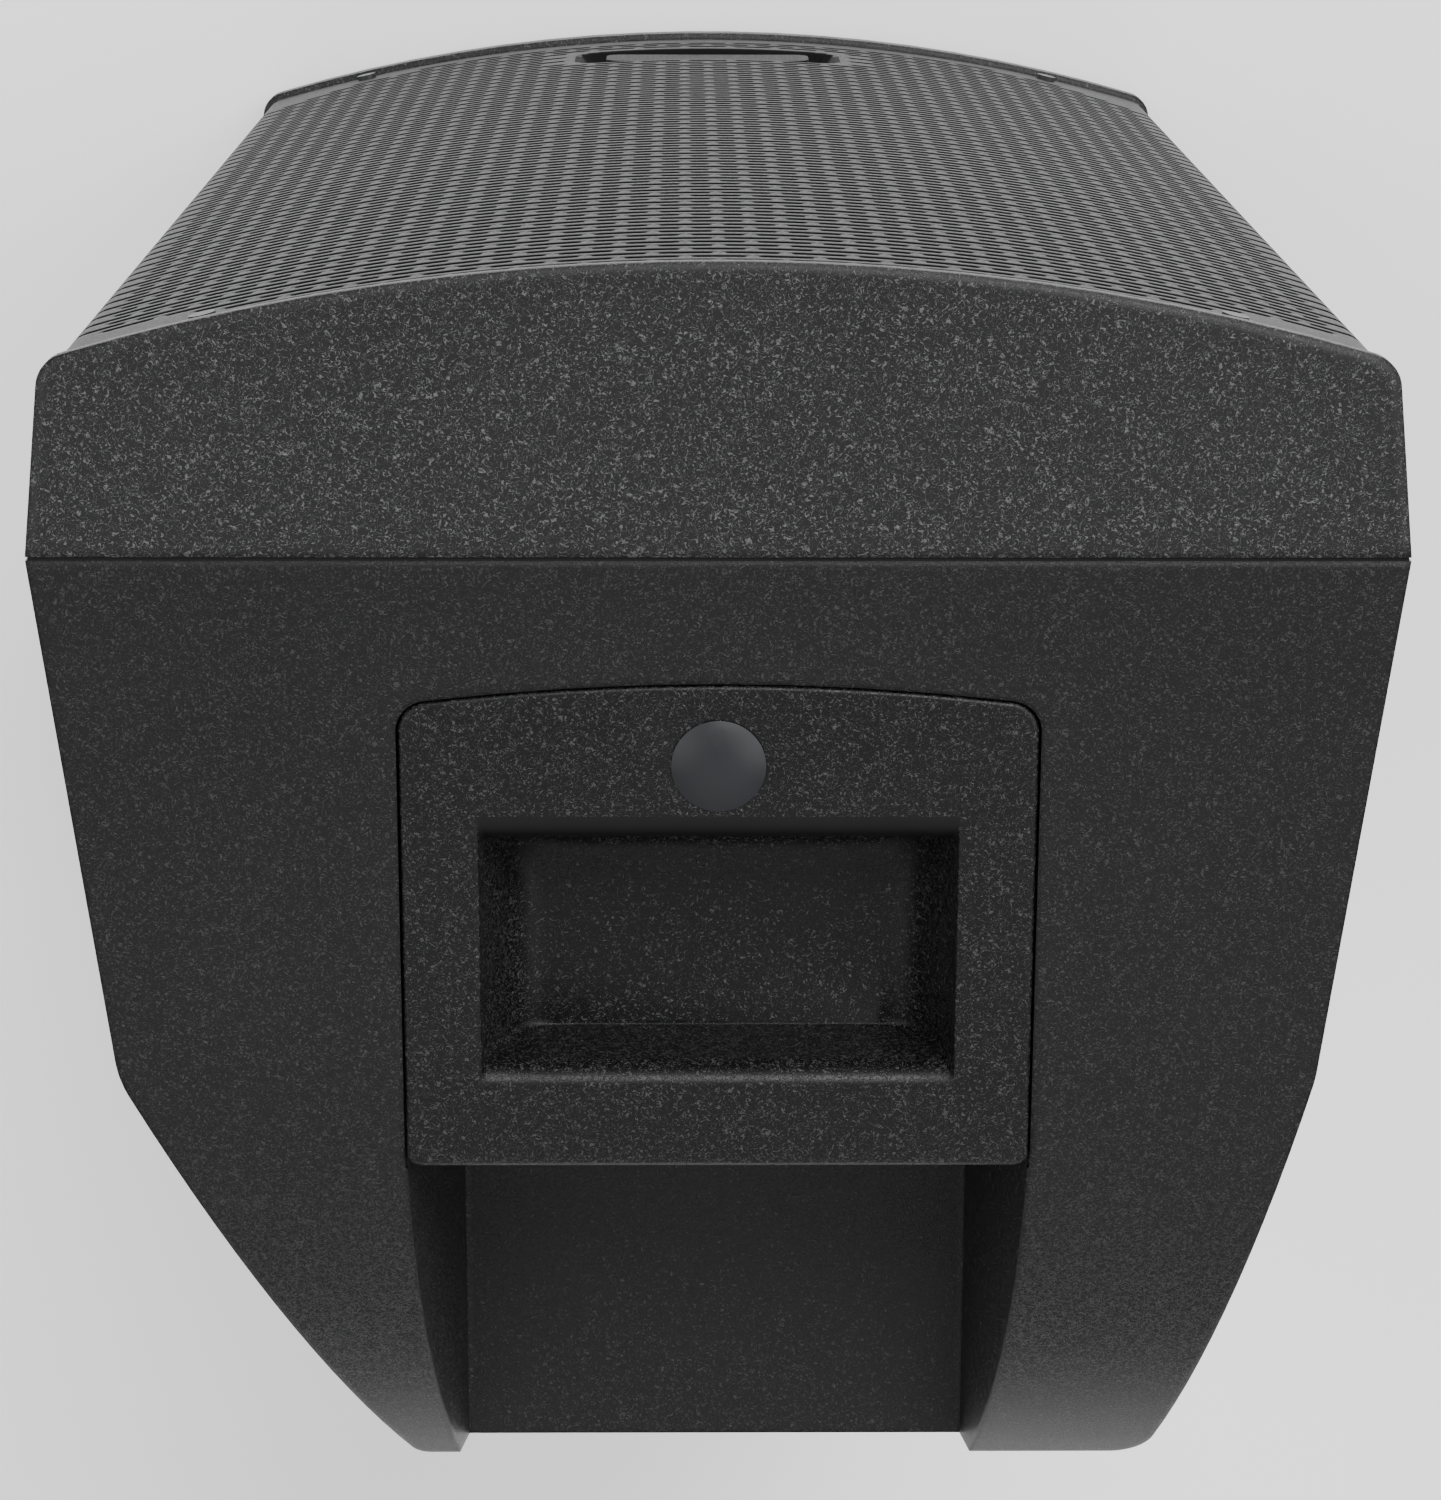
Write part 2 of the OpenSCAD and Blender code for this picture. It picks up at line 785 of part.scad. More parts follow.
module woofer_screws() {
  color([0.2, 0.2, 0.2])
    on_baffle(0, woofer_z)
      for (i = [0:woofer_bolts - 1])
        rotate([0, 0, (i + 0.5) * 360 / woofer_bolts])
          translate([woofer_bolt_circle, 0, 0]) {
            translate([0, 0, 8]) cylinder(r = 4, h = 2.6, $fn = small);
            translate([0, 0, -5.5]) cylinder(r = 2.15, h = 14, $fn = small);
          }
}

// ---- inside the cabinet ----

module port_tubes() {
  color([0.07, 0.07, 0.07])
    for (side = [-1, 1])
      on_baffle(side * port_x, port_z)
        difference() {
          union() {
            cylinder(r = 23.5, h = 3, $fn = smooth);
            translate([0, 0, -120]) cylinder(r = 20, h = 121, $fn = smooth);
          }
          translate([0, 0, -121]) cylinder(r = 18, h = 130, $fn = smooth);
        }
}

module damping_pads() {
  pad = 12;
  outer = inset_line([half_width, joint_y], [knee_half, knee_y], wall + 0.2);
  inner = inset_line([half_width, joint_y], [knee_half, knee_y], wall + pad);
  front = [[0, joint_y + 28], [1, 0]];
  back = [[0, knee_y - 14], [1, 0]];
  color([0.75, 0.75, 0.72])
    both_sides()
      translate([0, 0, 70])
        linear_extrude(height = 230)
          polygon([meet(front, outer), meet(back, outer), meet(back, inner), meet(front, inner)]);
}

// ---- amplifier ----

panel_screw_spots = [
  for (x = [panel_x - panel_half + 5, panel_x + panel_half - 5])
    for (z = [panel_low + 5, (panel_low + panel_high) / 2, panel_high - 5])
      [x, z]
];
jack_left = panel_x - jack_spread;
jack_right = panel_x + jack_spread;

module amp_panel() {
  color([0.1, 0.1, 0.11])
    difference() {
      block(panel_x - panel_half, panel_x + panel_half, panel_back, panel_face,
        panel_low, panel_high);
      for (s = panel_screw_spots) bar_y(s.x, s.y, 2, panel_back - 1, panel_face + 1);
      for (i = [-1:1])
        bar_y(panel_x + i * knob_spread, knob_z, 3.6, panel_back - 1, panel_face + 1);
      for (i = [-1, 1])
        bar_y(panel_x + i * button_spread, button_z, 3.9, panel_back - 1, panel_face + 1);
      bar_y(panel_x, knob_z + 22, 2.6, panel_back - 1, panel_face + 1);
      for (x = [jack_left, jack_right]) bar_y(x, jack_z, 12.2, panel_back - 1, panel_face + 1);
      for (x = [jack_left, jack_right])
        block(x - 3.4, x + 3.4, panel_back - 1, panel_face + 1, jack_z + 10, jack_z + 16.4);
      bar_y(panel_x, output_z, 12.2, panel_back - 1, panel_face + 1);
      block(inlet_x - 14.3, inlet_x + 14.3, panel_back - 1, panel_face + 1,
        mains_z - 10.8, mains_z + 10.8);
      block(switch_x - 11.3, switch_x + 11.3, panel_back - 1, panel_face + 1,
        mains_z - 7.3, mains_z + 7.3);
    }
}

module heat_sink() {
  fins = 15;
  width = 150;
  pitch = (width - 2.4) / (fins - 1);
  color([0.12, 0.12, 0.12]) {
    block(panel_x - width / 2, panel_x + width / 2, panel_face, panel_face + 3, sink_low, sink_high);
    for (i = [0:fins - 1])
      block(panel_x - width / 2 + i * pitch, panel_x - width / 2 + i * pitch + 2.4,
        panel_face + 2, back_y - 0.8, sink_low, sink_high);
  }
}

module panel_screws() {
  color([0.15, 0.15, 0.15])
    for (s = panel_screw_spots) {
      bar_y(s.x, s.y, 3.4, panel_face, panel_face + 2);
      bar_y(s.x, s.y, 1.55, panel_back - 6, panel_face + 1);
    }
}

module amp_board() {
  face = panel_back - 42;
  color([0.1, 0.3, 0.15]) {
    difference() {
      block(panel_x - 78, panel_x + 78, face - 1.6, face, 235, 410);
      bar_y(panel_x - 60, 300, 1, face - 3, face + 2);
    }
    // supply capacitors and the output stage stand on the back of the board
    for (i = [0:3]) bar_y(panel_x - 55 + i * 30, 270, 11, face - 34, face - 1);
    block(panel_x - 60, panel_x + 60, face - 18, face - 1, 345, 356);
    // four posts hold it to the panel
    for (x = [panel_x - 74, panel_x + 74])
      for (z = [240, 405])
        bar_y(x, z, 3.5, face - 0.5, panel_back);
  }
}

module power_transformer() {
  color([0.5, 0.35, 0.15])
    translate([panel_x, panel_back, (sink_low + sink_high) / 2])
      rotate([90, 0, 0])
        difference() {
          union() {
            translate([0, 0, 2]) cylinder(r = 46, h = 36, $fn = smooth);
            cylinder(r = 20, h = 40, $fn = smooth);
          }
          translate([0, 0, 3]) cylinder(r = 4, h = 50, $fn = small);
        }
}

module knob(x) {
  ribs = 18;
  color([0.12, 0.12, 0.13])
    difference() {
      union() {
        bar_y(x, knob_z, knob_radius, panel_face + 0.5, back_y - 1.4);
        bar_y(x, knob_z, 3, panel_back - 12, panel_face + 1);
      }
      for (i = [0:ribs - 1])
        translate([x, back_y, knob_z])
          rotate([90, i * 360 / ribs, 0])
            translate([knob_radius + 0.5, 0, -1]) cylinder(r = 1, h = 8, $fn = 24);
      // pointer groove
      block(x - 0.6, x + 0.6, back_y - 2, back_y, knob_z + 1.5, knob_z + knob_radius - 1);
    }
}

module knob_left() {
  knob(panel_x + knob_spread);
}

module knob_middle() {
  knob(panel_x);
}

module knob_right() {
  knob(panel_x - knob_spread);
}

module push_button(x) {
  color([0.5, 0.5, 0.5]) {
    bar_y(x, button_z, 3.5, panel_back - 12, panel_face + 3.4);
    bar_y(x, button_z, 5.5, panel_back - 13, panel_back - 3.5);
  }
}

module select_button() {
  push_button(panel_x + button_spread);
}

module boost_button() {
  push_button(panel_x - button_spread);
}

module status_lens() {
  color([0.1, 0.7, 0.3]) {
    bar_y(panel_x, knob_z + 22, 2.5, panel_back - 6, panel_face + 0.4);
    translate([panel_x, panel_face + 0.4, knob_z + 22])
      intersection() {
        sphere(r = 2.5, $fn = small);
        block(-3, 3, 0, 3, -3, 3);
      }
  }
}

module combo_jack(x) {
  contacts = [90, 210, 330];
  color([0.05, 0.05, 0.05])
    difference() {
      union() {
        soft_block_y(x - 13, x + 13, panel_face, panel_face + 2, jack_z - 15.5, jack_z + 15.5, 3);
        bar_y(x, jack_z, 12, panel_back - 24, panel_face + 1);
      }
      bar_y(x, jack_z, jack_radius, panel_back - 20, panel_face + 3);
      for (a = contacts)
        bar_y(x + 6 * cos(a), jack_z + 6 * sin(a), 1.5, panel_back - 12, panel_face + 3);
      // ring-shaped groove for the shell of a plug
      translate([x, panel_face + 3, jack_z])
        rotate([90, 0, 0])
          difference() {
            cylinder(r = 10, h = 17, $fn = smooth);
            translate([0, 0, -1]) cylinder(r = 8.7, h = 19, $fn = smooth);
          }
      // slot for the release tab
      block(x - 3.4, x + 3.4, panel_back - 6, panel_face + 3, jack_z + 10.4, jack_z + 14);
    }
}

module combo_jack_left() {
  combo_jack(jack_left);
}

module combo_jack_right() {
  combo_jack(jack_right);
}

module jack_latch(x) {
  color([0.6, 0.6, 0.62])
    difference() {
      block(x - 3, x + 3, panel_face - 1.6, panel_face + 4.6, jack_z + 10.8, jack_z + 13.6);
      block(x - 4, x + 4, panel_face + 3.4, panel_face + 5, jack_z + 11.8, jack_z + 12.6);
    }
}

module latch_left() {
  jack_latch(jack_left);
}

module latch_right() {
  jack_latch(jack_right);
}

module output_socket() {
  pins = [90, 210, 330];
  color([0.06, 0.06, 0.06]) {
    difference() {
      union() {
        soft_block_y(panel_x - 13, panel_x + 13, panel_face, panel_face + 2,
          output_z - 15.5, output_z + 15.5, 3);
        bar_y(panel_x, output_z, 12, panel_back - 20, panel_face + 1);
      }
      bar_y(panel_x, output_z, 9.8, panel_back - 12, panel_face + 3);
    }
    for (a = pins)
      bar_y(panel_x + 4.8 * cos(a), output_z + 4.8 * sin(a), 1.2, panel_back - 13, panel_face - 1);
  }
}

module power_inlet() {
  color([0.05, 0.05, 0.05]) {
    difference() {
      union() {
        soft_block_y(inlet_x - 24, inlet_x + 24, panel_face, panel_face + 2,
          mains_z - 13.5, mains_z + 13.5, 3);
        block(inlet_x - 14, inlet_x + 14, panel_back - 20, panel_face + 1,
          mains_z - 10.5, mains_z + 10.5);
      }
      block(inlet_x - 12.2, inlet_x + 12.2, panel_face - 16, panel_face + 3,
        mains_z - 8.2, mains_z + 8.2);
      for (s = [-1, 1]) bar_y(inlet_x + s * 20, mains_z, 1.8, panel_face - 1, panel_face + 3);
    }
    for (p = [[-7, -2], [0, 2], [7, -2]])
      block(inlet_x + p.x - 1, inlet_x + p.x + 1, panel_face - 17, panel_face - 2,
        mains_z + p.y - 2, mains_z + p.y + 2);
  }
}

module switch_frame() {
  color([0.06, 0.06, 0.06])
    difference() {
      union() {
        soft_block_y(switch_x - 13.5, switch_x + 13.5, panel_face, panel_face + 1.6,
          mains_z - 9.5, mains_z + 9.5, 2);
        block(switch_x - 11, switch_x + 11, panel_back - 16, panel_face + 1,
          mains_z - 7, mains_z + 7);
      }
      block(switch_x - 9.9, switch_x + 9.9, panel_back - 10, panel_face + 3,
        mains_z - 5.6, mains_z + 5.6);
      // holes for the rocker's pivots
      bar_z(switch_x, panel_face - 1, 1.4, mains_z - 6.5, mains_z + 6.5);
    }
}

rocker_turn = 10;

// A rocker that tips about an upright pin, resting with one end in
module power_switch() {
  color([0.1, 0.1, 0.1])
    translate([switch_x, panel_face - 1, 0]) {
      bar_z(0, 0, 1, mains_z - 6.1, mains_z + 6.1);
      rotate([0, 0, -rocker_turn])
        intersection() {
          block(-8.6, 8.6, -5, 4.6, mains_z - 5.2, mains_z + 5.2);
          union() {
            for (s = [-1, 1])
              rotate([0, 0, s * rocker_turn])
                block(s < 0 ? -20 : -1, s < 0 ? 1 : 20, -5, 3.2, 0, far);
          }
        }
    }
}

// ---- stand socket, feet ----

pole_screw_spots = [for (a = [45, 135, 225, 315]) [31 * cos(a), 31 * sin(a)]];
foot_spots = [[-132, -122], [132, -122], [-112, 112], [84, 112]];
pole_depth = 88;

module pole_socket() {
  color([0.1, 0.1, 0.1])
    difference() {
      union() {
        bar_z(0, 0, 38, base_z - 3, base_z, smooth);
        bar_z(0, 0, 21.5, base_z - 3, base_z + pole_depth + 3, smooth);
      }
      bar_z(0, 0, pole_radius, base_z - 4, base_z + pole_depth, smooth);
      for (s = pole_screw_spots) bar_z(s.x, s.y, 2, base_z - 4, base_z + 1);
    }
}

module pole_socket_screws() {
  color([0.3, 0.3, 0.3])
    for (s = pole_screw_spots) {
      bar_z(s.x, s.y, 3.6, base_z - 5.2, base_z - 3);
      bar_z(s.x, s.y, 1.75, base_z - 4, base_z + 10);
    }
}

module feet() {
  color([0.05, 0.05, 0.05])
    for (s = foot_spots)
      difference() {
        bar_z(s.x, s.y, 14, 0, foot_height, smooth);
        bar_z(s.x, s.y, 5, -1, 4.5);
        bar_z(s.x, s.y, 2, -1, foot_height + 1);
      }
}

module foot_screws() {
  color([0.4, 0.4, 0.4])
    for (s = foot_spots) {
      bar_z(s.x, s.y, 4.2, 2.2, 4.5);
      bar_z(s.x, s.y, 1.75, 3, foot_height + 3.8);
    }
}

module monitor_feet() {
  color([0.05, 0.05, 0.05])
    for (along = [34, 122])
      for (z = [80, 470])
        on_monitor_side(along, z)
          rotate([0, 90, 0]) cylinder(r = 11, h = 3.5, $fn = smooth);
}

// ---- wiring ----

module wire(points, r) {
  for (i = [0:len(points) - 2]) {
    run = points[i + 1] - points[i];
    translate(points[i])
      rotate([0, acos(run.z / norm(run)), atan2(run.y, run.x)])
        cylinder(r = r, h = norm(run), $fn = 24);
  }
  // sleeves at the bends
  for (i = [1:len(points) - 2]) translate(points[i]) sphere(r = r + 0.8, $fn = small);
}

module wiring_harness() {
  board_y = panel_back - 44;
  color([0.6, 0.1, 0.1]) {
    wire([[60, board_y + 2.4, 232], [60, board_y - 20, 232], [100, 20, 240], [90, -60, 240]], 2.5);
    wire([[-60, board_y + 2.4, 412], [-60, board_y - 20, 430], [-60, 16, 440], [-49, 0, 452]], 2);
  }
}

front_frame();
rear_shell();
shell_gasket();
shell_screws();
grille();
grille_cloth();
grille_screws();
badge_plate();
handle_cup();
handle_screws();
rigging_cap();
rigging_insert();
horn();
compression_driver();
horn_screws();
woofer_basket();
woofer_magnet();
woofer_cone();
dust_cap();
voice_coil();
woofer_surround();
woofer_spider();
woofer_gasket();
woofer_screws();
port_tubes();
damping_pads();
amp_panel();
heat_sink();
amp_board();
power_transformer();
panel_screws();
knob_left();
knob_middle();
knob_right();
select_button();
boost_button();
status_lens();
combo_jack_left();
combo_jack_right();
latch_left();
latch_right();
output_socket();
power_inlet();
switch_frame();
power_switch();
pole_socket();
pole_socket_screws();
feet();
foot_screws();
monitor_feet();
wiring_harness();
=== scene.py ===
import bpy
import bmesh
import math
from mathutils import Matrix, Vector


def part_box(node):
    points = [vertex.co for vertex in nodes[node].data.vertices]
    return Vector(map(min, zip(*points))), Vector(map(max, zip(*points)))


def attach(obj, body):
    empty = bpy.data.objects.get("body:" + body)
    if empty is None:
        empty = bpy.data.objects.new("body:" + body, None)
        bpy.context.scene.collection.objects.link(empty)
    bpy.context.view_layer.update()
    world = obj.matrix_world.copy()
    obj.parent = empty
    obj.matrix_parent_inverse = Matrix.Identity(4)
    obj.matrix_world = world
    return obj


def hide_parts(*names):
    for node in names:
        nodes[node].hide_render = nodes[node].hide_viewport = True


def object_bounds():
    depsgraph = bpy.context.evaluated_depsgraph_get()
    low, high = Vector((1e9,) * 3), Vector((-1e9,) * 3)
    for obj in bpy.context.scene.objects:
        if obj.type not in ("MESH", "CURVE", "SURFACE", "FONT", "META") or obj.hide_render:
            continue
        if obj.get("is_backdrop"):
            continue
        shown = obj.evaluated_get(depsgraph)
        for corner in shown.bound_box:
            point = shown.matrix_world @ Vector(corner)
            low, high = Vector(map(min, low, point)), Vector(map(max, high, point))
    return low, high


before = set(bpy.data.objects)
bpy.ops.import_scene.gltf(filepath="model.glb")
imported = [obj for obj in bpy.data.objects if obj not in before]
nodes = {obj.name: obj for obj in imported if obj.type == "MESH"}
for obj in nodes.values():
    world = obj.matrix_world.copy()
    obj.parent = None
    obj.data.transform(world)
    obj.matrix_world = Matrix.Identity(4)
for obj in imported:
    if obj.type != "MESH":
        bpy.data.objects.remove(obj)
cad_low, cad_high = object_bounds()
mm = 0.001

# ---------------------------------------------------------------- camera
# The view is from above the top, a little in front of the grille.
eye = Vector((0.0096, -0.3355, 1.6185))
looking = Vector((-0.0095, 0.2688, -0.9632)).normalized()
right = looking.cross(Vector((0.0, -0.9632, -0.2688))).normalized()
up = right.cross(looking)
camera_data = bpy.data.cameras.new("camera")
camera_data.lens = 97.44
camera_data.sensor_width = 36.0
camera_data.clip_start = 0.05
camera = bpy.data.objects.new("camera", camera_data)
camera.matrix_world = Matrix((
    (right.x, up.x, -looking.x, eye.x),
    (right.y, up.y, -looking.y, eye.y),
    (right.z, up.z, -looking.z, eye.z),
    (0, 0, 0, 1),
))
bpy.context.scene.collection.objects.link(camera)
bpy.context.scene.camera = camera


# ---------------------------------------------------------------- materials
def new_material(name, colour, roughness, metallic=0.0, specular=0.5):
    m = bpy.data.materials.new(name)
    m.use_nodes = True
    shader = m.node_tree.nodes["Principled BSDF"]
    shader.inputs["Base Color"].default_value = (*colour, 1)
    shader.inputs["Roughness"].default_value = roughness
    shader.inputs["Metallic"].default_value = metallic
    shader.inputs["Specular IOR Level"].default_value = specular
    return m, m.node_tree.nodes, m.node_tree.links, shader


def coordinates(tree_nodes, links, stretch=(1, 1, 1)):
    coords = tree_nodes.new("ShaderNodeTexCoord")
    mapping = tree_nodes.new("ShaderNodeMapping")
    mapping.inputs["Scale"].default_value = stretch
    links.new(coords.outputs["Object"], mapping.inputs["Vector"])
    return mapping.outputs["Vector"]


def noise(tree_nodes, links, vector, scale, detail=2.0, rough=0.5, distortion=0.0):
    n = tree_nodes.new("ShaderNodeTexNoise")
    n.inputs["Scale"].default_value = scale
    n.inputs["Detail"].default_value = detail
    n.inputs["Roughness"].default_value = rough
    n.inputs["Distortion"].default_value = distortion
    links.new(vector, n.inputs["Vector"])
    return n.outputs["Fac"]


def ramp(tree_nodes, links, value, stops):
    r = tree_nodes.new("ShaderNodeValToRGB")
    r.color_ramp.elements[0].position = stops[0][0]
    r.color_ramp.elements[0].color = (*stops[0][1], 1)
    r.color_ramp.elements[1].position = stops[-1][0]
    r.color_ramp.elements[1].color = (*stops[-1][1], 1)
    for place, colour in stops[1:-1]:
        r.color_ramp.elements.new(place).color = (*colour, 1)
    links.new(value, r.inputs["Fac"])
    return r.outputs["Color"]


def bump(tree_nodes, links, height, strength, distance, before=None):
    b = tree_nodes.new("ShaderNodeBump")
    b.inputs["Strength"].default_value = strength
    b.inputs["Distance"].default_value = distance
    links.new(height, b.inputs["Height"])
    if before is not None:
        links.new(before, b.inputs["Normal"])
    return b.outputs["Normal"]


def grey(v):
    return (v, v, v * 1.04)


def grained_plastic(name, tone, roughness, worm_scale, worm_height, specular=0.4, ridge_highlight_tone=5.0,
                    edge_radius=0.003, worm_distortion=1.0):
    """Moulded plastic with a worm-like grain: short raised wrinkles, bumped, whose lines are also
    painted much lighter in the colour as painted highlights.
    """
    m, n, l, shader = new_material(name, grey(tone), roughness, 0.0, specular)
    place = coordinates(n, l)
    field = noise(n, l, place, worm_scale, 1.0, 0.4, worm_distortion)
    centred = n.new("ShaderNodeMath")
    centred.operation = "SUBTRACT"
    centred.inputs[1].default_value = 0.5
    l.new(field, centred.inputs[0])
    away = n.new("ShaderNodeMath")
    away.operation = "ABSOLUTE"
    l.new(centred.outputs[0], away.inputs[0])
    ridge = ramp(n, l, away.outputs[0],
                 [(0.0, (1, 1, 1)), (0.025, (0.8, 0.8, 0.8)), (0.05, (0, 0, 0))])
    gaps = noise(n, l, place, worm_scale * 0.9, 1.0, 0.5)
    strokes = n.new("ShaderNodeMix")
    strokes.data_type = "RGBA"
    strokes.blend_type = "MULTIPLY"
    strokes.inputs["Factor"].default_value = 1.0
    l.new(ridge, strokes.inputs["A"])
    l.new(ramp(n, l, gaps, [(0.3, (0.15, 0.15, 0.15)), (0.46, (1, 1, 1))]), strokes.inputs["B"])
    lines = strokes.outputs["Result"]
    fine = noise(n, l, place, worm_scale * 3, 2.0, 0.6)
    broad = noise(n, l, place, 14, 3.0, 0.55)
    tint = ramp(n, l, broad, [(0.3, grey(tone * 0.85)), (0.7, grey(tone * 1.15))])
    # painted highlight: the grain's raised lines get a base colour many times lighter than the
    # plastic, standing in for the light they catch
    mix = n.new("ShaderNodeMix")
    mix.data_type = "RGBA"
    mix.blend_type = "MIX"
    l.new(lines, mix.inputs["Factor"])
    l.new(tint, mix.inputs["A"])
    mix.inputs["B"].default_value = (*grey(tone * ridge_highlight_tone), 1)
    l.new(mix.outputs["Result"], shader.inputs["Base Color"])
    gloss = ramp(n, l, fine, [(0.3, (roughness - 0.07,) * 3), (0.7, (roughness + 0.08,) * 3)])
    l.new(gloss, shader.inputs["Roughness"])
    edge = n.new("ShaderNodeBevel")
    edge.samples = 6
    edge.inputs["Radius"].default_value = edge_radius
    first = bump(n, l, lines, 0.8, worm_height, edge.outputs["Normal"])
    l.new(bump(n, l, fine, 0.3, worm_height * 0.4, first), shader.inputs["Normal"])
    return m


def painted(name, tone, roughness, metallic=0.0, peel=0.00008, scale=900, specular=0.5):
    """Powder coat or satin paint: fine orange peel and slight tone changes."""
    m, n, l, shader = new_material(name, grey(tone), roughness, metallic, specular)
    place = coordinates(n, l)
    skin = noise(n, l, place, scale, 2.0, 0.5)
    broad = noise(n, l, place, 20, 3.0, 0.6)
    l.new(ramp(n, l, broad, [(0.3, grey(tone * 0.92)), (0.7, grey(tone * 1.08))]),
          shader.inputs["Base Color"])
    l.new(ramp(n, l, skin, [(0.3, (roughness - 0.06,) * 3), (0.7, (roughness + 0.06,) * 3)]),
          shader.inputs["Roughness"])
    l.new(bump(n, l, skin, 0.5, peel), shader.inputs["Normal"])
    return m


def brushed(name, colour, roughness, stretch=(40, 1, 1)):
    """Bare metal with fine parallel lines, drawn out across the stretched axis."""
    m, n, l, shader = new_material(name, colour, roughness, 1.0)
    place = coordinates(n, l, stretch)
    lines = noise(n, l, place, 60, 4.0, 0.7)
    dark = tuple(c * 0.75 for c in colour)
    l.new(ramp(n, l, lines, [(0.3, dark), (0.7, colour)]), shader.inputs["Base Color"])
    l.new(ramp(n, l, lines, [(0.2, (roughness - 0.08,) * 3), (0.8, (roughness + 0.1,) * 3)]),
          shader.inputs["Roughness"])
    l.new(bump(n, l, lines, 0.3, 0.00003), shader.inputs["Normal"])
    return m


def woven(name, colour, pitch, depth=0.0002):
    """Cloth: two sets of ribs crossing, pitch apart in metres."""
    m, n, l, shader = new_material(name, colour, 0.9, 0.0, 0.3)
    place = coordinates(n, l)
    height = None
    for way in ("X", "Z"):
        w = n.new("ShaderNodeTexWave")
        w.bands_direction = way
        w.inputs["Scale"].default_value = 0.32 / pitch
        w.inputs["Distortion"].default_value = 0.4
        l.new(place, w.inputs["Vector"])
        if height is None:
            height = w.outputs["Fac"]
        else:
            upper = n.new("ShaderNodeMath")
            upper.operation = "MAXIMUM"
            l.new(height, upper.inputs[0])
            l.new(w.outputs["Fac"], upper.inputs[1])
            height = upper.outputs[0]
    dark = tuple(c * 0.4 for c in colour)
    l.new(ramp(n, l, height, [(0.2, dark), (0.9, colour)]), shader.inputs["Base Color"])
    l.new(bump(n, l, height, 0.8, depth), shader.inputs["Normal"])
    return m


def rubbery(name, tone, roughness=0.75):
    """Matt rubber, foam or wadding."""
    m, n, l, shader = new_material(name, grey(tone), roughness, 0.0, 0.35)
    place = coordinates(n, l)
    fine = noise(n, l, place, 1500, 2.0, 0.6)
    broad = noise(n, l, place, 60, 3.0, 0.6)
    l.new(ramp(n, l, broad, [(0.3, grey(tone * 0.8)), (0.75, grey(tone * 1.3))]),
          shader.inputs["Base Color"])
    l.new(bump(n, l, fine, 0.5, 0.00006), shader.inputs["Normal"])
    return m


def smooth_plastic(name, colour, roughness, scale=700, specular=0.5):
    """Plain moulded plastic, or anything else with an even skin."""
    m, n, l, shader = new_material(name, colour, roughness, 0.0, specular)
    place = coordinates(n, l)
    fine = noise(n, l, place, scale, 2.0, 0.5)
    broad = noise(n, l, place, 30, 3.0, 0.6)
    dark = tuple(c * 0.9 for c in colour)
    light = tuple(c * 1.1 for c in colour)
    l.new(ramp(n, l, broad, [(0.3, dark), (0.7, light)]), shader.inputs["Base Color"])
    l.new(ramp(n, l, fine, [(0.3, (roughness - 0.05,) * 3), (0.7, (roughness + 0.05,) * 3)]),
          shader.inputs["Roughness"])
    l.new(bump(n, l, fine, 0.3, 0.00003), shader.inputs["Normal"])
    return m


# painted light: the shell and the frame are the same plastic; the frame's is painted lighter,
# with brighter grain strokes, because its top tilts toward the light and the shell's top tilts
# away
shell_plastic = grained_plastic("shell_plastic", 0.0036, 0.38, 900, 0.0002, 0.25, 7.0)
frame_plastic = grained_plastic("frame_plastic", 0.005, 0.38, 800, 0.00034, 0.32, 14.0, 0.0045)
handle_plastic = grained_plastic("handle_plastic", 0.0026, 0.36, 820, 0.0003, 0.22, 14.0, 0.0008)
# painted shade: a smooth dark plastic, without the grain's lit strokes and with little specular,
# for the shaded front of the handle pocket
shaded_roll_plastic = smooth_plastic("shaded_roll_plastic", (0.005, 0.005, 0.0053), 0.5, 700, 0.16)
grille_paint = painted("grille_paint", 0.02, 0.48, 0.0, 0.00006, 1100, 0.18)
# painted shade: the badge recess is near black with little specular, standing in for the shade
# inside the recess
recess_shade = painted("recess_shade", 0.003, 0.6, 0.0, 0.00006, 1100, 0.05)
# painted shade: the walls of the slots and the sheet's edges are near black, standing in for the
# shade inside the slots
slot_wall_shade = painted("slot_wall_shade", 0.002, 0.7, 0.0, 0.00004, 1100, 0.04)
cloth = woven("grille_cloth_weave", (0.006, 0.006, 0.006), 0.0012)
cap_plastic = smooth_plastic("cap_plastic", (0.011, 0.0112, 0.0135), 0.4, 700, 0.28)
# painted shade: the badge plate is made very dark so that it reads as lying in the recess's shade
badge_metal = brushed("badge_metal", (0.012, 0.012, 0.0125), 0.55)
rubber = rubbery("rubber", 0.022)
foam = rubbery("foam", 0.004, 0.95)
black_steel = painted("black_steel", 0.03, 0.38, 0.6, 0.00003, 1500)
zinc_steel = brushed("zinc_steel", (0.55, 0.55, 0.57), 0.3)
horn_plastic = smooth_plastic("horn_plastic", (0.02, 0.02, 0.02), 0.4)
driver_paint = painted("driver_paint", 0.025, 0.45)
cone_paper = smooth_plastic("cone_paper", (0.03, 0.03, 0.033), 0.8, 1200)
copper = brushed("copper", (0.75, 0.32, 0.14), 0.35, (1, 60, 1))
treated_cloth = woven("treated_cloth", (0.03, 0.03, 0.03), 0.0008)
spider_cloth = woven("spider_cloth", (0.5, 0.36, 0.16), 0.001)
wadding = rubbery("wadding", 0.6, 0.95)
panel_paint = painted("panel_paint", 0.022, 0.5, 0.2, 0.00012, 1400)
sink_metal = painted("sink_metal", 0.02, 0.4, 0.8, 0.00002, 2000)
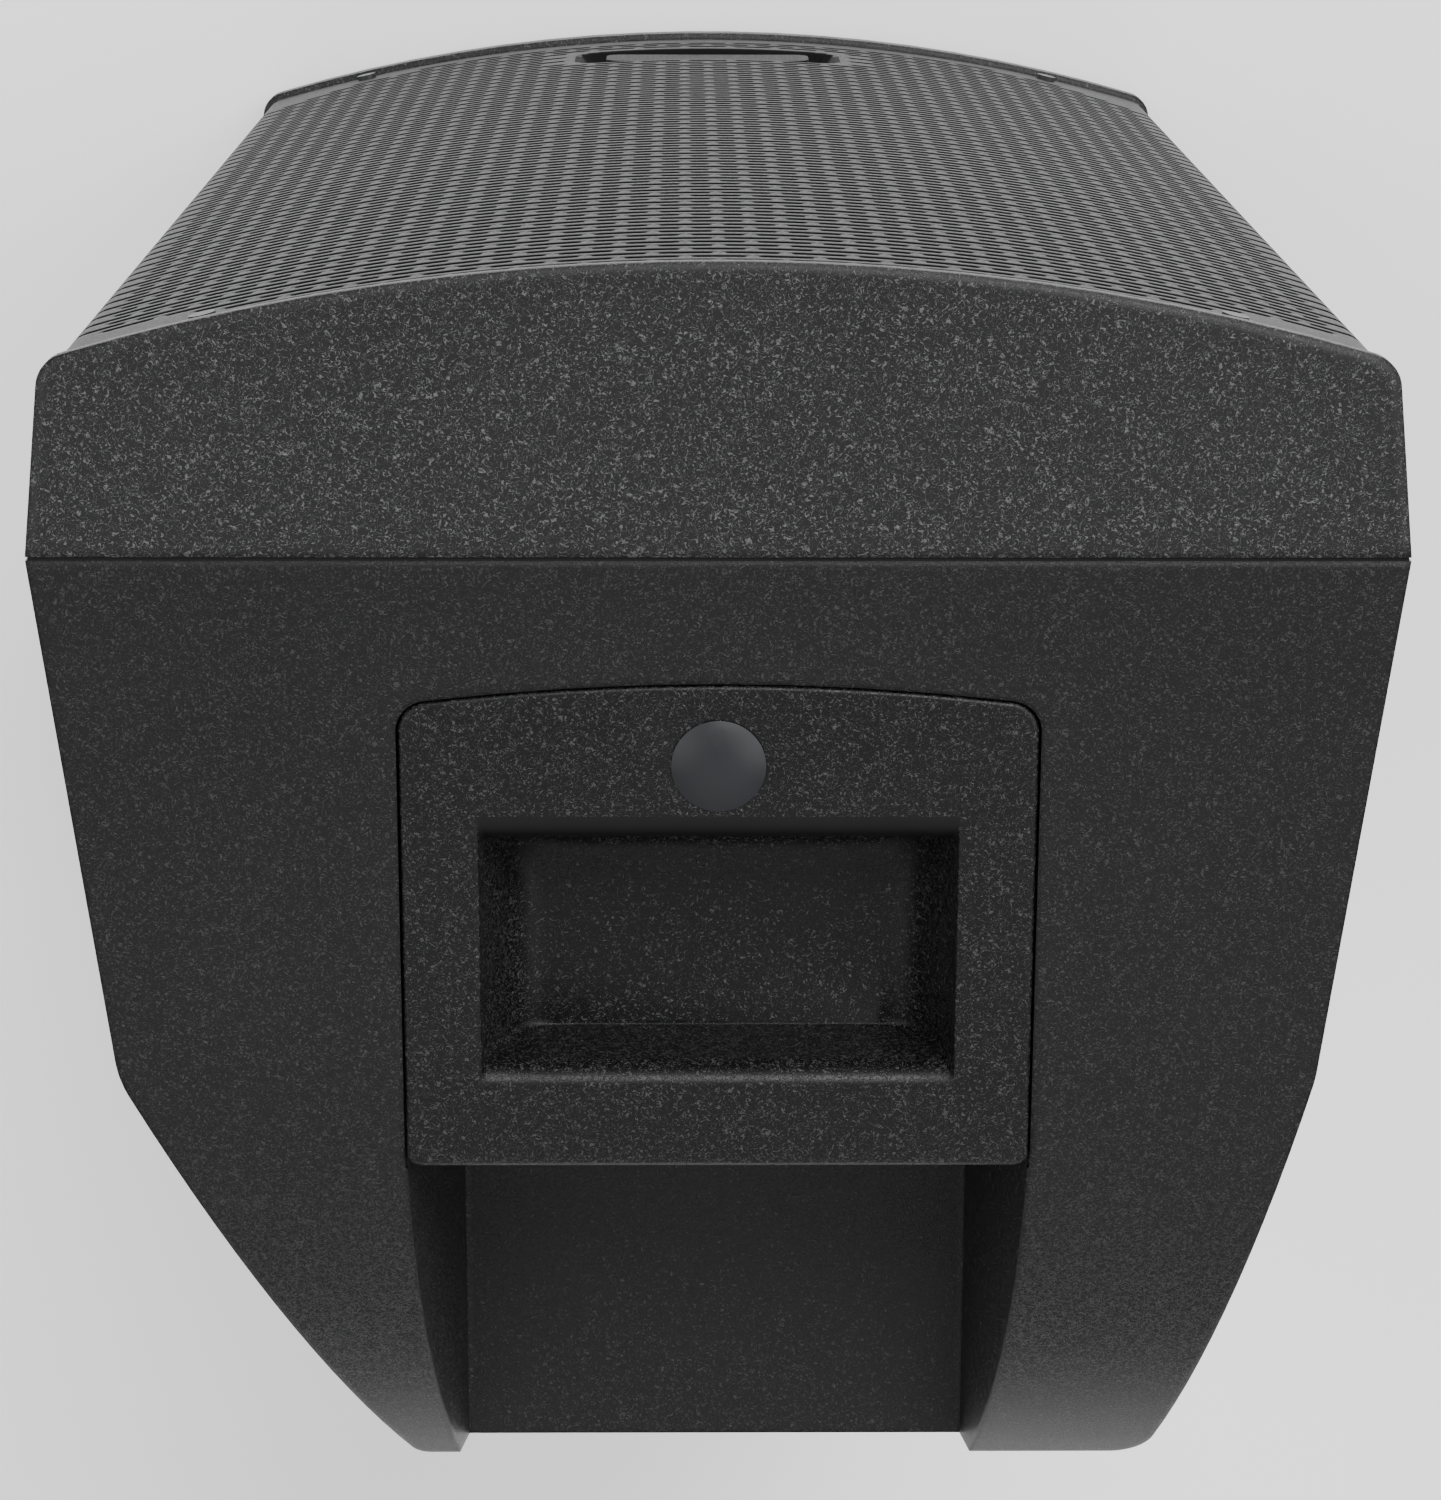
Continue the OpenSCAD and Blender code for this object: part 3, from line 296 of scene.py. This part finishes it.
board_green = smooth_plastic("board_green", (0.02, 0.12, 0.05), 0.35)
knob_plastic = rubbery("knob_plastic", 0.035, 0.55)
button_plastic = smooth_plastic("button_plastic", (0.3, 0.3, 0.32), 0.35)
socket_nylon = smooth_plastic("socket_nylon", (0.016, 0.016, 0.017), 0.32)
latch_steel = brushed("latch_steel", (0.5, 0.5, 0.52), 0.3)
pole_nylon = smooth_plastic("pole_nylon", (0.022, 0.022, 0.023), 0.5)
wire_skin = smooth_plastic("wire_skin", (0.3, 0.02, 0.02), 0.45)
mark_paint = painted("mark_paint", 0.55, 0.5, 0.0, 0.00001, 900)
lens_green = smooth_plastic("lens_green", (0.03, 0.5, 0.1), 0.15)

looks = {
    "front_frame": frame_plastic, "rear_shell": shell_plastic, "shell_gasket": foam,
    "shell_screws": black_steel, "grille": grille_paint, "grille_cloth": cloth,
    "grille_screws": black_steel, "badge_plate": badge_metal, "handle_cup": handle_plastic,
    "handle_screws": zinc_steel, "rigging_cap": cap_plastic, "rigging_insert": zinc_steel,
    "horn": horn_plastic, "compression_driver": driver_paint, "horn_screws": black_steel,
    "woofer_basket": driver_paint, "woofer_magnet": driver_paint, "woofer_cone": cone_paper,
    "dust_cap": cone_paper, "voice_coil": copper, "woofer_surround": treated_cloth,
    "woofer_spider": spider_cloth, "woofer_gasket": foam, "woofer_screws": black_steel,
    "port_tubes": horn_plastic, "damping_pads": wadding, "amp_panel": panel_paint,
    "heat_sink": sink_metal, "amp_board": board_green, "power_transformer": copper,
    "panel_screws": black_steel, "knob_left": knob_plastic, "knob_middle": knob_plastic,
    "knob_right": knob_plastic, "select_button": button_plastic, "boost_button": button_plastic,
    "status_lens": lens_green, "combo_jack_left": socket_nylon, "combo_jack_right": socket_nylon,
    "latch_left": latch_steel, "latch_right": latch_steel, "output_socket": socket_nylon,
    "power_inlet": socket_nylon, "switch_frame": socket_nylon, "power_switch": socket_nylon,
    "pole_socket": pole_nylon, "pole_socket_screws": zinc_steel, "feet": rubber,
    "foot_screws": zinc_steel, "monitor_feet": rubber, "wiring_harness": wire_skin,
}
for name, material in looks.items():
    mesh = nodes[name].data
    mesh.materials.clear()
    mesh.materials.append(material)


# ---------------------------------------------------------------- rounded edges on CAD pieces
def round_edges(name, width, segments=3, angle=32):
    """A small bevel on the edges that turn by more than the angle, in degrees."""
    piece = nodes[name]
    weld = piece.modifiers.new("weld", "WELD")
    weld.merge_threshold = 0.02 * mm
    b = piece.modifiers.new("bevel", "BEVEL")
    b.width = width
    b.segments = segments
    b.limit_method = "ANGLE"
    b.angle_limit = math.radians(angle)
    b.harden_normals = False
    b.use_clamp_overlap = True
    normals = piece.modifiers.new("normals", "WEIGHTED_NORMAL")
    normals.keep_sharp = True


round_edges("front_frame", 2.2 * mm, 3, 40)
round_edges("rear_shell", 1.8 * mm, 3, 40)
for name in ("combo_jack_left", "combo_jack_right", "output_socket", "power_inlet",
             "switch_frame", "power_switch", "select_button", "boost_button", "heat_sink",
             "pole_socket", "feet", "monitor_feet", "badge_plate"):
    round_edges(name, 0.5 * mm, 2)


# ---------------------------------------------------------------- helpers for new pieces
def piece_from(name, verts, faces, material, body="cabinet", smooth=True):
    mesh = bpy.data.meshes.new(name)
    mesh.from_pydata(verts, [], faces)
    mesh.update()
    o = bpy.data.objects.new(name, mesh)
    bpy.context.scene.collection.objects.link(o)
    mesh.materials.append(material)
    if smooth:
        mesh.shade_smooth()
    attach(o, body)
    return o


# ---------------------------------------------------------------- slotted grille
# The outline in plan is a wide front arc, a tight corner and a straight flange on each side.
crown_y = cad_low[1]
joint_depth = 76.4 * mm
joint_y = crown_y + joint_depth
half_width = 178 * mm
front_half = half_width - 5.2 * mm
taper_depth = 24 * mm
flange_end = 32.6 * mm
lip = 2 * mm
sheet = 1.5 * mm
arc_radius = 600 * mm
corner_radius = 9 * mm
centre = Vector((0, crown_y + arc_radius))
joint_point = Vector((half_width, joint_y))
side_way = (Vector((front_half, crown_y + taper_depth)) - joint_point).normalized()
side_normal = Vector((-side_way.y, side_way.x))
start = joint_point - corner_radius * side_normal - centre
run = -start.dot(side_way) + math.sqrt(
    start.dot(side_way) ** 2 - start.dot(start) + (arc_radius - corner_radius) ** 2)
corner = joint_point - corner_radius * side_normal + run * side_way
corner_way = (corner - centre).normalized()
face_radius = arc_radius - lip
bend_radius = corner_radius - lip
front_turn = math.atan2(corner_way.x, -corner_way.y)
side_turn = math.atan2(side_normal.x, -side_normal.y)
front_length = face_radius * front_turn
bend_length = bend_radius * (side_turn - front_turn)
flange_start = corner + bend_radius * side_normal
flange_length = (flange_start.y - (crown_y + flange_end)) / side_way.y


def on_outline(s, inward=0.0):
    """A point of the outline, s along the sheet from the middle and inward from its face."""
    side = 1 if s >= 0 else -1
    s = abs(s)
    if s <= front_length:
        turn = s / face_radius
        way = Vector((math.sin(turn), -math.cos(turn)))
        p = centre + (face_radius - inward) * way
    elif s <= front_length + bend_length:
        turn = front_turn + (s - front_length) / bend_radius
        way = Vector((math.sin(turn), -math.cos(turn)))
        p = corner + (bend_radius - inward) * way
    else:
        p = flange_start - side_way * (s - front_length - bend_length) - inward * side_normal
    return side * p.x, p.y


grille_low, grille_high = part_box("grille")
z_low = grille_low[2]
z_high = grille_high[2]
slot_pitch = 17.36 * mm
row_pitch = 6.3 * mm
slot_length = 14.4 * mm
slot_height = 2.8 * mm
top_margin = 6 * mm
low_margin = 12 * mm
badge_half = 48 * mm
badge_low = 56 * mm
badge_high = 93 * mm
badge_corner = 9 * mm
badge_clear = 2.2 * mm
press_depth = 3.4 * mm
slope_start = 0.4 * mm
slope_run = 2.4 * mm
plain_corner_start = 118 * mm
plain_corner_rise = 0.42
cell_steps = 8
half_round = 5
band_steps = 4
tail_steps = 16
tiny = 1e-9


def slot_ring():
    """Boundary of a slot about its middle, one point for each point of its cell's boundary."""
    r = slot_height / 2
    flat = slot_length / 2 - r
    pts = []
    for i in range(cell_steps + 1):
        pts.append((-flat + 2 * flat * i / cell_steps, r))
    for i in range(1, half_round):
        a = math.pi / 2 - math.pi * i / half_round
        pts.append((flat + r * math.cos(a), r * math.sin(a)))
    for i in range(cell_steps + 1):
        pts.append((flat - 2 * flat * i / cell_steps, -r))
    for i in range(1, half_round):
        a = -math.pi / 2 - math.pi * i / half_round
        pts.append((-flat + r * math.cos(a), r * math.sin(a)))
    return pts


rows = int((z_high - top_margin - z_low - low_margin) / row_pitch)
rows_start = (z_low + low_margin + z_high - top_margin) / 2 - rows * row_pitch / 2
field_half = front_length + 7 * mm
field_slack = 0.3 * mm
half_pitch = slot_pitch / 2
sub = slot_pitch / cell_steps


def corner_margin(s):
    """Height of the plain area above the slots, which widens towards the corners."""
    return max(0.0, abs(s) - plain_corner_start) * plain_corner_rise


verts = []
faces = []
lookup = {}


def vertex(s, z):
    """Number of the vertex at a place on the flat sheet, made if it is new."""
    key = (round(s * 1e6), round(z * 1e6))
    if key not in lookup:
        lookup[key] = len(verts)
        verts.append((s, z))
    return lookup[key]


def quad(s0, s1, z0, z1):
    return [vertex(s0, z0), vertex(s1, z0), vertex(s1, z1), vertex(s0, z1)]


def in_badge(s0, s1, z0, z1, grow=0.0):
    return (s1 > -badge_half - grow and s0 < badge_half + grow
            and z1 > badge_low - grow and z0 < badge_high + grow)


ring = slot_ring()


def cell(s0, z0):
    """One slot and the metal round it."""
    mid_s = s0 + half_pitch
    mid_z = z0 + row_pitch / 2
    outer = []
    for i in range(cell_steps + 1):
        outer.append((s0 + sub * i, z0 + row_pitch))
    for i in range(1, half_round):
        outer.append((s0 + slot_pitch, z0 + row_pitch * (1 - i / half_round)))
    for i in range(cell_steps + 1):
        outer.append((s0 + slot_pitch - sub * i, z0))
    for i in range(1, half_round):
        outer.append((s0, z0 + row_pitch * i / half_round))
    inner = [(mid_s + p[0], mid_z + p[1]) for p in ring]
    a = [vertex(*p) for p in outer]
    b = [vertex(*p) for p in inner]
    for i in range(len(a)):
        j = (i + 1) % len(a)
        faces.append([a[i], b[i], b[j], a[j]])


def blank_cell(s0, z0, steps=cell_steps):
    """A plain stretch of one row, cut at the same places as the cells beside it."""
    side = [z0 + row_pitch * i / half_round for i in range(half_round + 1)]
    for i in range(steps):
        for j in range(half_round):
            faces.append(quad(s0 + sub * i, s0 + sub * (i + 1), side[j], side[j + 1]))


columns = int(field_half // slot_pitch) + 1
edge = (columns + 0.5) * slot_pitch
levels = [rows_start + i * row_pitch for i in range(rows + 1)]
for r in range(rows):
    z0 = levels[r]
    indent = half_pitch if r % 2 else 0.0
    s, end = -edge + indent, edge - indent
    while s < end - tiny:
        s1 = s + slot_pitch
        reach = max(abs(s), abs(s1))
        outside = reach > field_half + field_slack
        high = z0 + row_pitch > z_high - top_margin - corner_margin(reach)
        low = z0 < z_low + low_margin + corner_margin(reach)
        if in_badge(s, s1, z0, z0 + row_pitch, badge_clear) or outside or high or low:
            blank_cell(s, z0)
        else:
            cell(s, z0)
        s = s1
    if indent:
        blank_cell(-edge, z0, cell_steps // 2)
        blank_cell(end, z0, cell_steps // 2)


def band(z0, z1):
    """A plain band across the sheet, below or above the rows of slots."""
    for j in range(band_steps):
        a = z0 + (z1 - z0) * j / band_steps
        b = z0 + (z1 - z0) * (j + 1) / band_steps
        for i in range(round(2 * edge / sub)):
            faces.append(quad(-edge + sub * i, -edge + sub * (i + 1), a, b))


band(z_low, levels[0])
band(levels[-1], z_high)

# the strips beside the slots, which run round the corners to the ends of the flanges
end_s = front_length + bend_length + flange_length
tail = max(0.5 * mm, end_s - edge)
heights = [z_low + (levels[0] - z_low) * j / band_steps for j in range(band_steps + 1)]
for level in levels[:-1]:
    heights += [level + row_pitch * (i + 1) / half_round for i in range(half_round)]
heights += [levels[-1] + (z_high - levels[-1]) * (j + 1) / band_steps for j in range(band_steps)]
for side in (-1, 1):
    for i in range(tail_steps):
        a = side * (edge + tail * i / tail_steps)
        b = side * (edge + tail * (i + 1) / tail_steps)
        for z0, z1 in zip(heights, heights[1:]):
            patch = quad(a, b, z0, z1)
            faces.append(patch if side > 0 else patch[::-1])


def pressed(s, z):
    """Depth of the badge recess at a place on the sheet, with sloping sides and round corners."""
    dx = abs(s) - (badge_half - badge_corner)
    dz = abs(z - (badge_low + badge_high) / 2) - ((badge_high - badge_low) / 2 - badge_corner)
    out = math.hypot(max(dx, 0), max(dz, 0)) + min(max(dx, dz), 0)
    t = min(1.0, max(0.0, (badge_corner + slope_start - out) / slope_run))
    return press_depth * t * t * (3 - 2 * t)


rim_width = 2 * mm
rim_drop = 1.2 * mm
recess_shown = 0.5 * mm
bent = []
for s, z in verts:
    # the long edges turn in a little towards the lips
    rim = max(0.0, z - (z_high - rim_width), (z_low + rim_width) - z) / rim_width
    turned_in = rim_drop * (1 - math.sqrt(max(0.0, 1 - rim * rim)))
    x, y = on_outline(s, pressed(s, z) + turned_in)
    bent.append((x, y, z))
grille_piece = piece_from("slotted_grille", bent, faces, grille_paint)
grille_piece.data.materials.append(slot_wall_shade)
grille_piece.data.materials.append(recess_shade)
# painted shade: faces deep in the badge recess take the near-black material
for face, ring_of in zip(grille_piece.data.polygons, faces):
    if max(pressed(*verts[v]) for v in ring_of) > recess_shown:
        face.material_index = 2
thick = grille_piece.modifiers.new("thickness", "SOLIDIFY")
thick.thickness = sheet
thick.offset = -1
thick.use_even_offset = True
# painted shade: the rim faces, the walls of the slots and the sheet's edges, take the near-black
# material
thick.material_offset_rim = 1
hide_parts("grille")

# ---------------------------------------------------------------- handle moulding
# Its places are in millimetres: across, back from the joint, and up from the sloping top.
top_height = 602 * mm
tilt = math.radians(2)
corner_steps = 7
side_steps = 12
stretch = corner_steps + side_steps
roll_steps = 10


def on_top(x, y, z):
    """The place in the frame of a point given on the sloping top."""
    y, z = y * mm, z * mm
    return (x * mm, joint_y + y * math.cos(tilt) + z * math.sin(tilt),
            top_height - y * math.sin(tilt) + z * math.cos(tilt))


def between(p, q):
    """The points that divide a straight side of a loop."""
    steps = [j / side_steps for j in range(1, side_steps)]
    return [tuple(p[c] + (q[c] - p[c]) * t for c in range(3)) for t in steps]


def bend(ox, oy, r, begin, end, z_begin, z_end):
    """The points of a round corner, whose height eases from one side's to the next one's."""
    pts = []
    for i in range(corner_steps + 1):
        t = i / corner_steps
        a = math.radians(begin + (end - begin) * t)
        share = t * t * (3 - 2 * t)
        z = z_begin + (z_end - z_begin) * share
        pts.append((ox + r * math.cos(a), oy + r * math.sin(a), z))
    return pts


def round_loop(half, front, back, r_front, r_back, z_side, z_front, z_back):
    """Points round a rectangle with round corners; each side may lie at its own height."""
    ends = [
        bend(half - r_back, back - r_back, r_back, 0, 90, z_side, z_back),
        bend(-half + r_back, back - r_back, r_back, 90, 180, z_back, z_side),
        bend(-half + r_front, front + r_front, r_front, 180, 270, z_side, z_front),
        bend(half - r_front, front + r_front, r_front, 270, 360, z_front, z_side),
    ]
    pts = []
    for i, part in enumerate(ends):
        pts += part + between(part[-1], ends[(i + 1) % 4][0])
    return pts


def plate_loop(inset, rear, corner_r, drop, deep):
    """Points round the handle plate, laid out in the same order as round_loop's."""
    half = plate_half - inset
    arc = plate_arc - inset
    middle = plate_front + plate_arc
    cx = half - corner_r
    cy = middle - math.sqrt((arc - corner_r) ** 2 - cx ** 2)
    lean = math.degrees(math.atan2(cx, middle - cy))
    r_back = plate_back_radius
    a = bend(half - r_back, rear - r_back, r_back, 0, 90, -drop, -deep)
    b = bend(-half + r_back, rear - r_back, r_back, 90, 180, -deep, -drop)
    c = bend(-cx, cy, corner_r, 180, 270 - lean, -drop, -drop)
    d = bend(cx, cy, corner_r, 270 + lean, 360, -drop, -drop)
    front = []
    for j in range(1, side_steps):
        f = math.radians(-lean + 2 * lean * j / side_steps)
        front.append((arc * math.sin(f), middle - arc * math.cos(f), -drop))
    return (a + between(a[-1], b[0]) + b + between(b[-1], c[0])
            + c + front + d + between(d[-1], a[0]))


plate_half, plate_front, plate_back, plate_arc = 83.5, 34.0, 169.8, 636.0
plate_corner, plate_back_radius = 8.0, 4.0
mouth_half, mouth_front, mouth_back = 63.6, 69.6, 146.4
fold_half, fold_front, fold_drop = 59.3, 78.6, 18.5
fold_bend = 14  # degrees from upright where the fold begins
wall_back, floor_drop = 140.4, 32.0

# the plate's underside, its edge and its rolled top corner, as inset and drop
skirt_inset, skirt_rear_inset, skirt_deep = 5.0, 8.0, 13.0
edge_profile = ((skirt_inset, 4.0), (0.0, 4.0), (0.0, 2.4), (0.0, 1.3),
                (0.1, 0.8), (0.4, 0.35), (0.8, 0.1), (1.3, 0.0))
loops = []
for inset, drop in edge_profile:
    deep = skirt_deep if drop > 3 else (6.0 if drop > 2 else drop * 3.0)
    rear = plate_back - (skirt_rear_inset if inset == skirt_inset else inset * 2.6)
    loops.append(plate_loop(inset, rear, plate_corner - inset * 0.6, drop, deep))
plate_edge = len(loops) - 1
mouth_edge = plate_edge + 1

# the roll from the top into the pocket: small at the sides, wide at the front and the back
for i in range(roll_steps):
    a = math.radians(90 * i / (roll_steps - 1))
    s, c = math.sin(a), 1 - math.cos(a)
    loops.append(round_loop(mouth_half - 0.6 * s, mouth_front + 7.6 * s, mouth_back - 6.0 * s,
                            1.0 + s, 1.2 + s, -0.6 * c, -8.0 * c, -8.5 * c))

# the pocket's walls, and the fold that rounds them into its floor
loops.append(round_loop(62.6, 77.4, wall_back, 2.6, 2.0, -5.0, -10.0, -10.0))
loops.append(round_loop(fold_half + 0.3, fold_front - 0.1, wall_back, 4.5, 2.0,
                        -fold_drop + 1, -fold_drop + 1, -fold_drop + 1))
fold_begin = 0.242  # sine of the fold's first angle
for i in range(roll_steps):
    a = math.radians(fold_bend + (90 - fold_bend) * i / (roll_steps - 1))
    s, c = 1 - math.cos(a), math.sin(a)
    drop = fold_drop + (floor_drop - fold_drop) * (c - fold_begin) / (1 - fold_begin)
    loops.append(round_loop(fold_half - 14.0 * s, fold_front + 13.0 * s, wall_back,
                            5.0 + 5 * s, 2.2, -drop, -drop, -drop))
size = len(loops[0])
handle_verts = [on_top(*p) for loop in loops for p in loop]
handle_faces = []
for i in range(len(loops) - 1):
    if i == plate_edge:
        continue
    for j in range(size):
        q = (j + 1) % size
        handle_faces.append([i * size + j, i * size + q, (i + 1) * size + q, (i + 1) * size + j])
handle_faces.append([(len(loops) - 1) * size + j for j in range(size)])

# the hole for the plug, with a rounded rim, as radius and height
plug_back = 55.7
hole_profile = ((8.6, 0.0), (8.1, -0.3), (8.0, -0.8), (8.0, -4.0))
hole_start = len(handle_verts)
hole_steps = 40
for r, z in hole_profile:
    for j in range(hole_steps):
        a = 2 * math.pi * j / hole_steps
        handle_verts.append(on_top(r * math.cos(a), plug_back + r * math.sin(a), z))
for i in range(len(hole_profile) - 1):
    for j in range(hole_steps):
        a = hole_start + i * hole_steps
        q = (j + 1) % hole_steps
        handle_faces.append([a + j, a + q, a + hole_steps + q, a + hole_steps + j])
handle = piece_from("handle_moulding", handle_verts, handle_faces, handle_plastic, smooth=False)
handle.data.materials.append(shaded_roll_plastic)
bm = bmesh.new()
bm.from_mesh(handle.data)
bm.verts.ensure_lookup_table()
rims = []
for start_index, count in ((plate_edge * size, size), (mouth_edge * size, size),
                           (hole_start, hole_steps)):
    for j in range(count):
        pair = (bm.verts[start_index + j], bm.verts[start_index + (j + 1) % count])
        edge_found = bm.edges.get(pair)
        rims.append(edge_found if edge_found else bm.edges.new(pair))
bmesh.ops.triangle_fill(bm, use_beauty=True, edges=rims)
bmesh.ops.recalc_face_normals(bm, faces=bm.faces)
bm.verts.ensure_lookup_table()
top_face = max(bm.faces, key=lambda f: f.calc_center_median().z)
if top_face.normal.z < 0:
    bmesh.ops.reverse_faces(bm, faces=bm.faces)
for f in bm.faces:
    f.smooth = True

# the front of the roll and of the wall under it gets the smooth dark plastic, between the middles
# of its corners: painted shade, standing in for the shade in the front of the pocket
front_begin = 2 * stretch + corner_steps // 2
front_end = 3 * stretch + corner_steps // 2 + 1
smooth_end = len(loops) - roll_steps // 2
for i in range(mouth_edge, smooth_end):
    for j in range(front_begin, front_end):
        low_corner = bm.verts[i * size + j]
        for f in low_corner.link_faces:
            if bm.verts[(i + 1) * size + j + 1] in f.verts:
                f.material_index = 1
sharp_angle = math.radians(50)
for e in bm.edges:
    if len(e.link_faces) == 2 and e.calc_face_angle(0) > sharp_angle:
        e.smooth = False
bm.to_mesh(handle.data)
bm.free()
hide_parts("handle_cup")

# ---------------------------------------------------------------- printed marks on the panel
mark_verts = []
mark_faces = []
panel_y = 169 * mm
knob_row = 388
# across the stroke, as a share of its width, and its lift off the panel in millimetres
stroke_profile = ((-0.5, 0.0), (-0.35, 0.05), (0.0, 0.07), (0.35, 0.05), (0.5, 0.0))


def stroke(path, width, closed=False):
    """A thin printed line with a slightly domed top, along points (x, z) in millimetres."""
    base = len(mark_verts)
    count = len(path)
    for i, (x, z) in enumerate(path):
        if closed:
            a, b = path[i - 1], path[(i + 1) % count]
        else:
            a, b = path[max(0, i - 1)], path[min(count - 1, i + 1)]
        length = math.hypot(b[0] - a[0], b[1] - a[1])
        nx, nz = -(b[1] - a[1]) / length, (b[0] - a[0]) / length
        for across, lift in stroke_profile:
            mark_verts.append(((x + nx * across * width) * mm, panel_y + lift * mm,
                               (z + nz * across * width) * mm))
    wide = len(stroke_profile)
    for i in range(count if closed else count - 1):
        here, there = base + i * wide, base + (i + 1) % count * wide
        for c in range(wide - 1):
            mark_faces.append([here + c, here + c + 1, there + c + 1, there + c])


for knob_x in (-75, -20, 35):
    for i in range(11):
        a = math.radians(-140 + 28 * i)
        far = 15.0 if i % 5 else 16.0
        stroke([(knob_x + r * math.sin(a), knob_row + r * math.cos(a))
                for r in (12.6, 13.6, far)], 0.7)


def rounded_outline(x0, x1, z0, z1, r):
    path = []
    for cx, cz, begin in ((x1 - r, z1 - r, 0), (x0 + r, z1 - r, 90),
                          (x0 + r, z0 + r, 180), (x1 - r, z0 + r, 270)):
        for i in range(7):
            a = math.radians(begin + 15 * i)
            path.append((cx + r * math.cos(a), cz + r * math.sin(a)))
    return path


for framed in ((-86, -38, 290, 334, 5), (-2, 46, 290, 334, 5),
               (-42, 2, 236, 280, 5), (-102, 62, 344, 418, 6)):
    stroke(rounded_outline(*framed), 0.6, True)
panel_marks = piece_from("panel_marks", mark_verts, mark_faces, mark_paint)

# ---------------------------------------------------------------- room
floor_half = 15
floor_mesh = bpy.data.meshes.new("floor")
floor_mesh.from_pydata([(-floor_half, -floor_half, 0), (floor_half, -floor_half, 0),
                        (floor_half, floor_half, 0), (-floor_half, floor_half, 0)],
                       [], [(0, 1, 2, 3)])
floor = bpy.data.objects.new("floor", floor_mesh)
bpy.context.scene.collection.objects.link(floor)
floor_look, fn, flinks, fshader = new_material("floor_paper", (0.86, 0.86, 0.86), 0.9, 0.0, 0.1)
paper = noise(fn, flinks, coordinates(fn, flinks), 3, 2.0, 0.5)
flinks.new(ramp(fn, flinks, paper, [(0.3, (0.85,) * 3), (0.7, (0.87,) * 3)]),
           fshader.inputs["Base Color"])
floor_mesh.materials.append(floor_look)
floor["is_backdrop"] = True

world = bpy.data.worlds.new("world")
bpy.context.scene.world = world
world.use_nodes = True
world.node_tree.nodes["Background"].inputs["Color"].default_value = (1, 1, 1, 1)
world.node_tree.nodes["Background"].inputs["Strength"].default_value = 0.6


def soft_sun(name, azimuth, elevation, spread, power):
    """A wide, soft light; azimuth 0 is in front of the grille and 90 at +X."""
    a, e = math.radians(azimuth), math.radians(elevation)
    towards = Vector((math.sin(a) * math.cos(e), -math.cos(a) * math.cos(e), math.sin(e)))
    data = bpy.data.lights.new(name, "SUN")
    data.energy = power
    data.angle = math.radians(spread)
    o = bpy.data.objects.new(name, data)
    bpy.context.scene.collection.objects.link(o)
    o.rotation_euler = towards.to_track_quat("Z", "Y").to_euler()
    o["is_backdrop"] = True


soft_sun("front_light", -14, 42, 28, 3.4)
soft_sun("left_light", -80, 45, 50, 1.7)
soft_sun("right_light", 80, 45, 50, 1.3)
soft_sun("back_light", 180, 50, 60, 0.5)
near_data = bpy.data.lights.new("near_light", "AREA")
near_data.size = 0.6
near_data.energy = 5
near_light = bpy.data.objects.new("near_light", near_data)
bpy.context.scene.collection.objects.link(near_light)
near_light.location = (-0.75, -0.85, 1.2)
aim = Vector((-0.12, -0.1, 0.6)) - near_light.location
near_light.rotation_euler = aim.to_track_quat("-Z", "Y").to_euler()
near_light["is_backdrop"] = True

low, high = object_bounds()
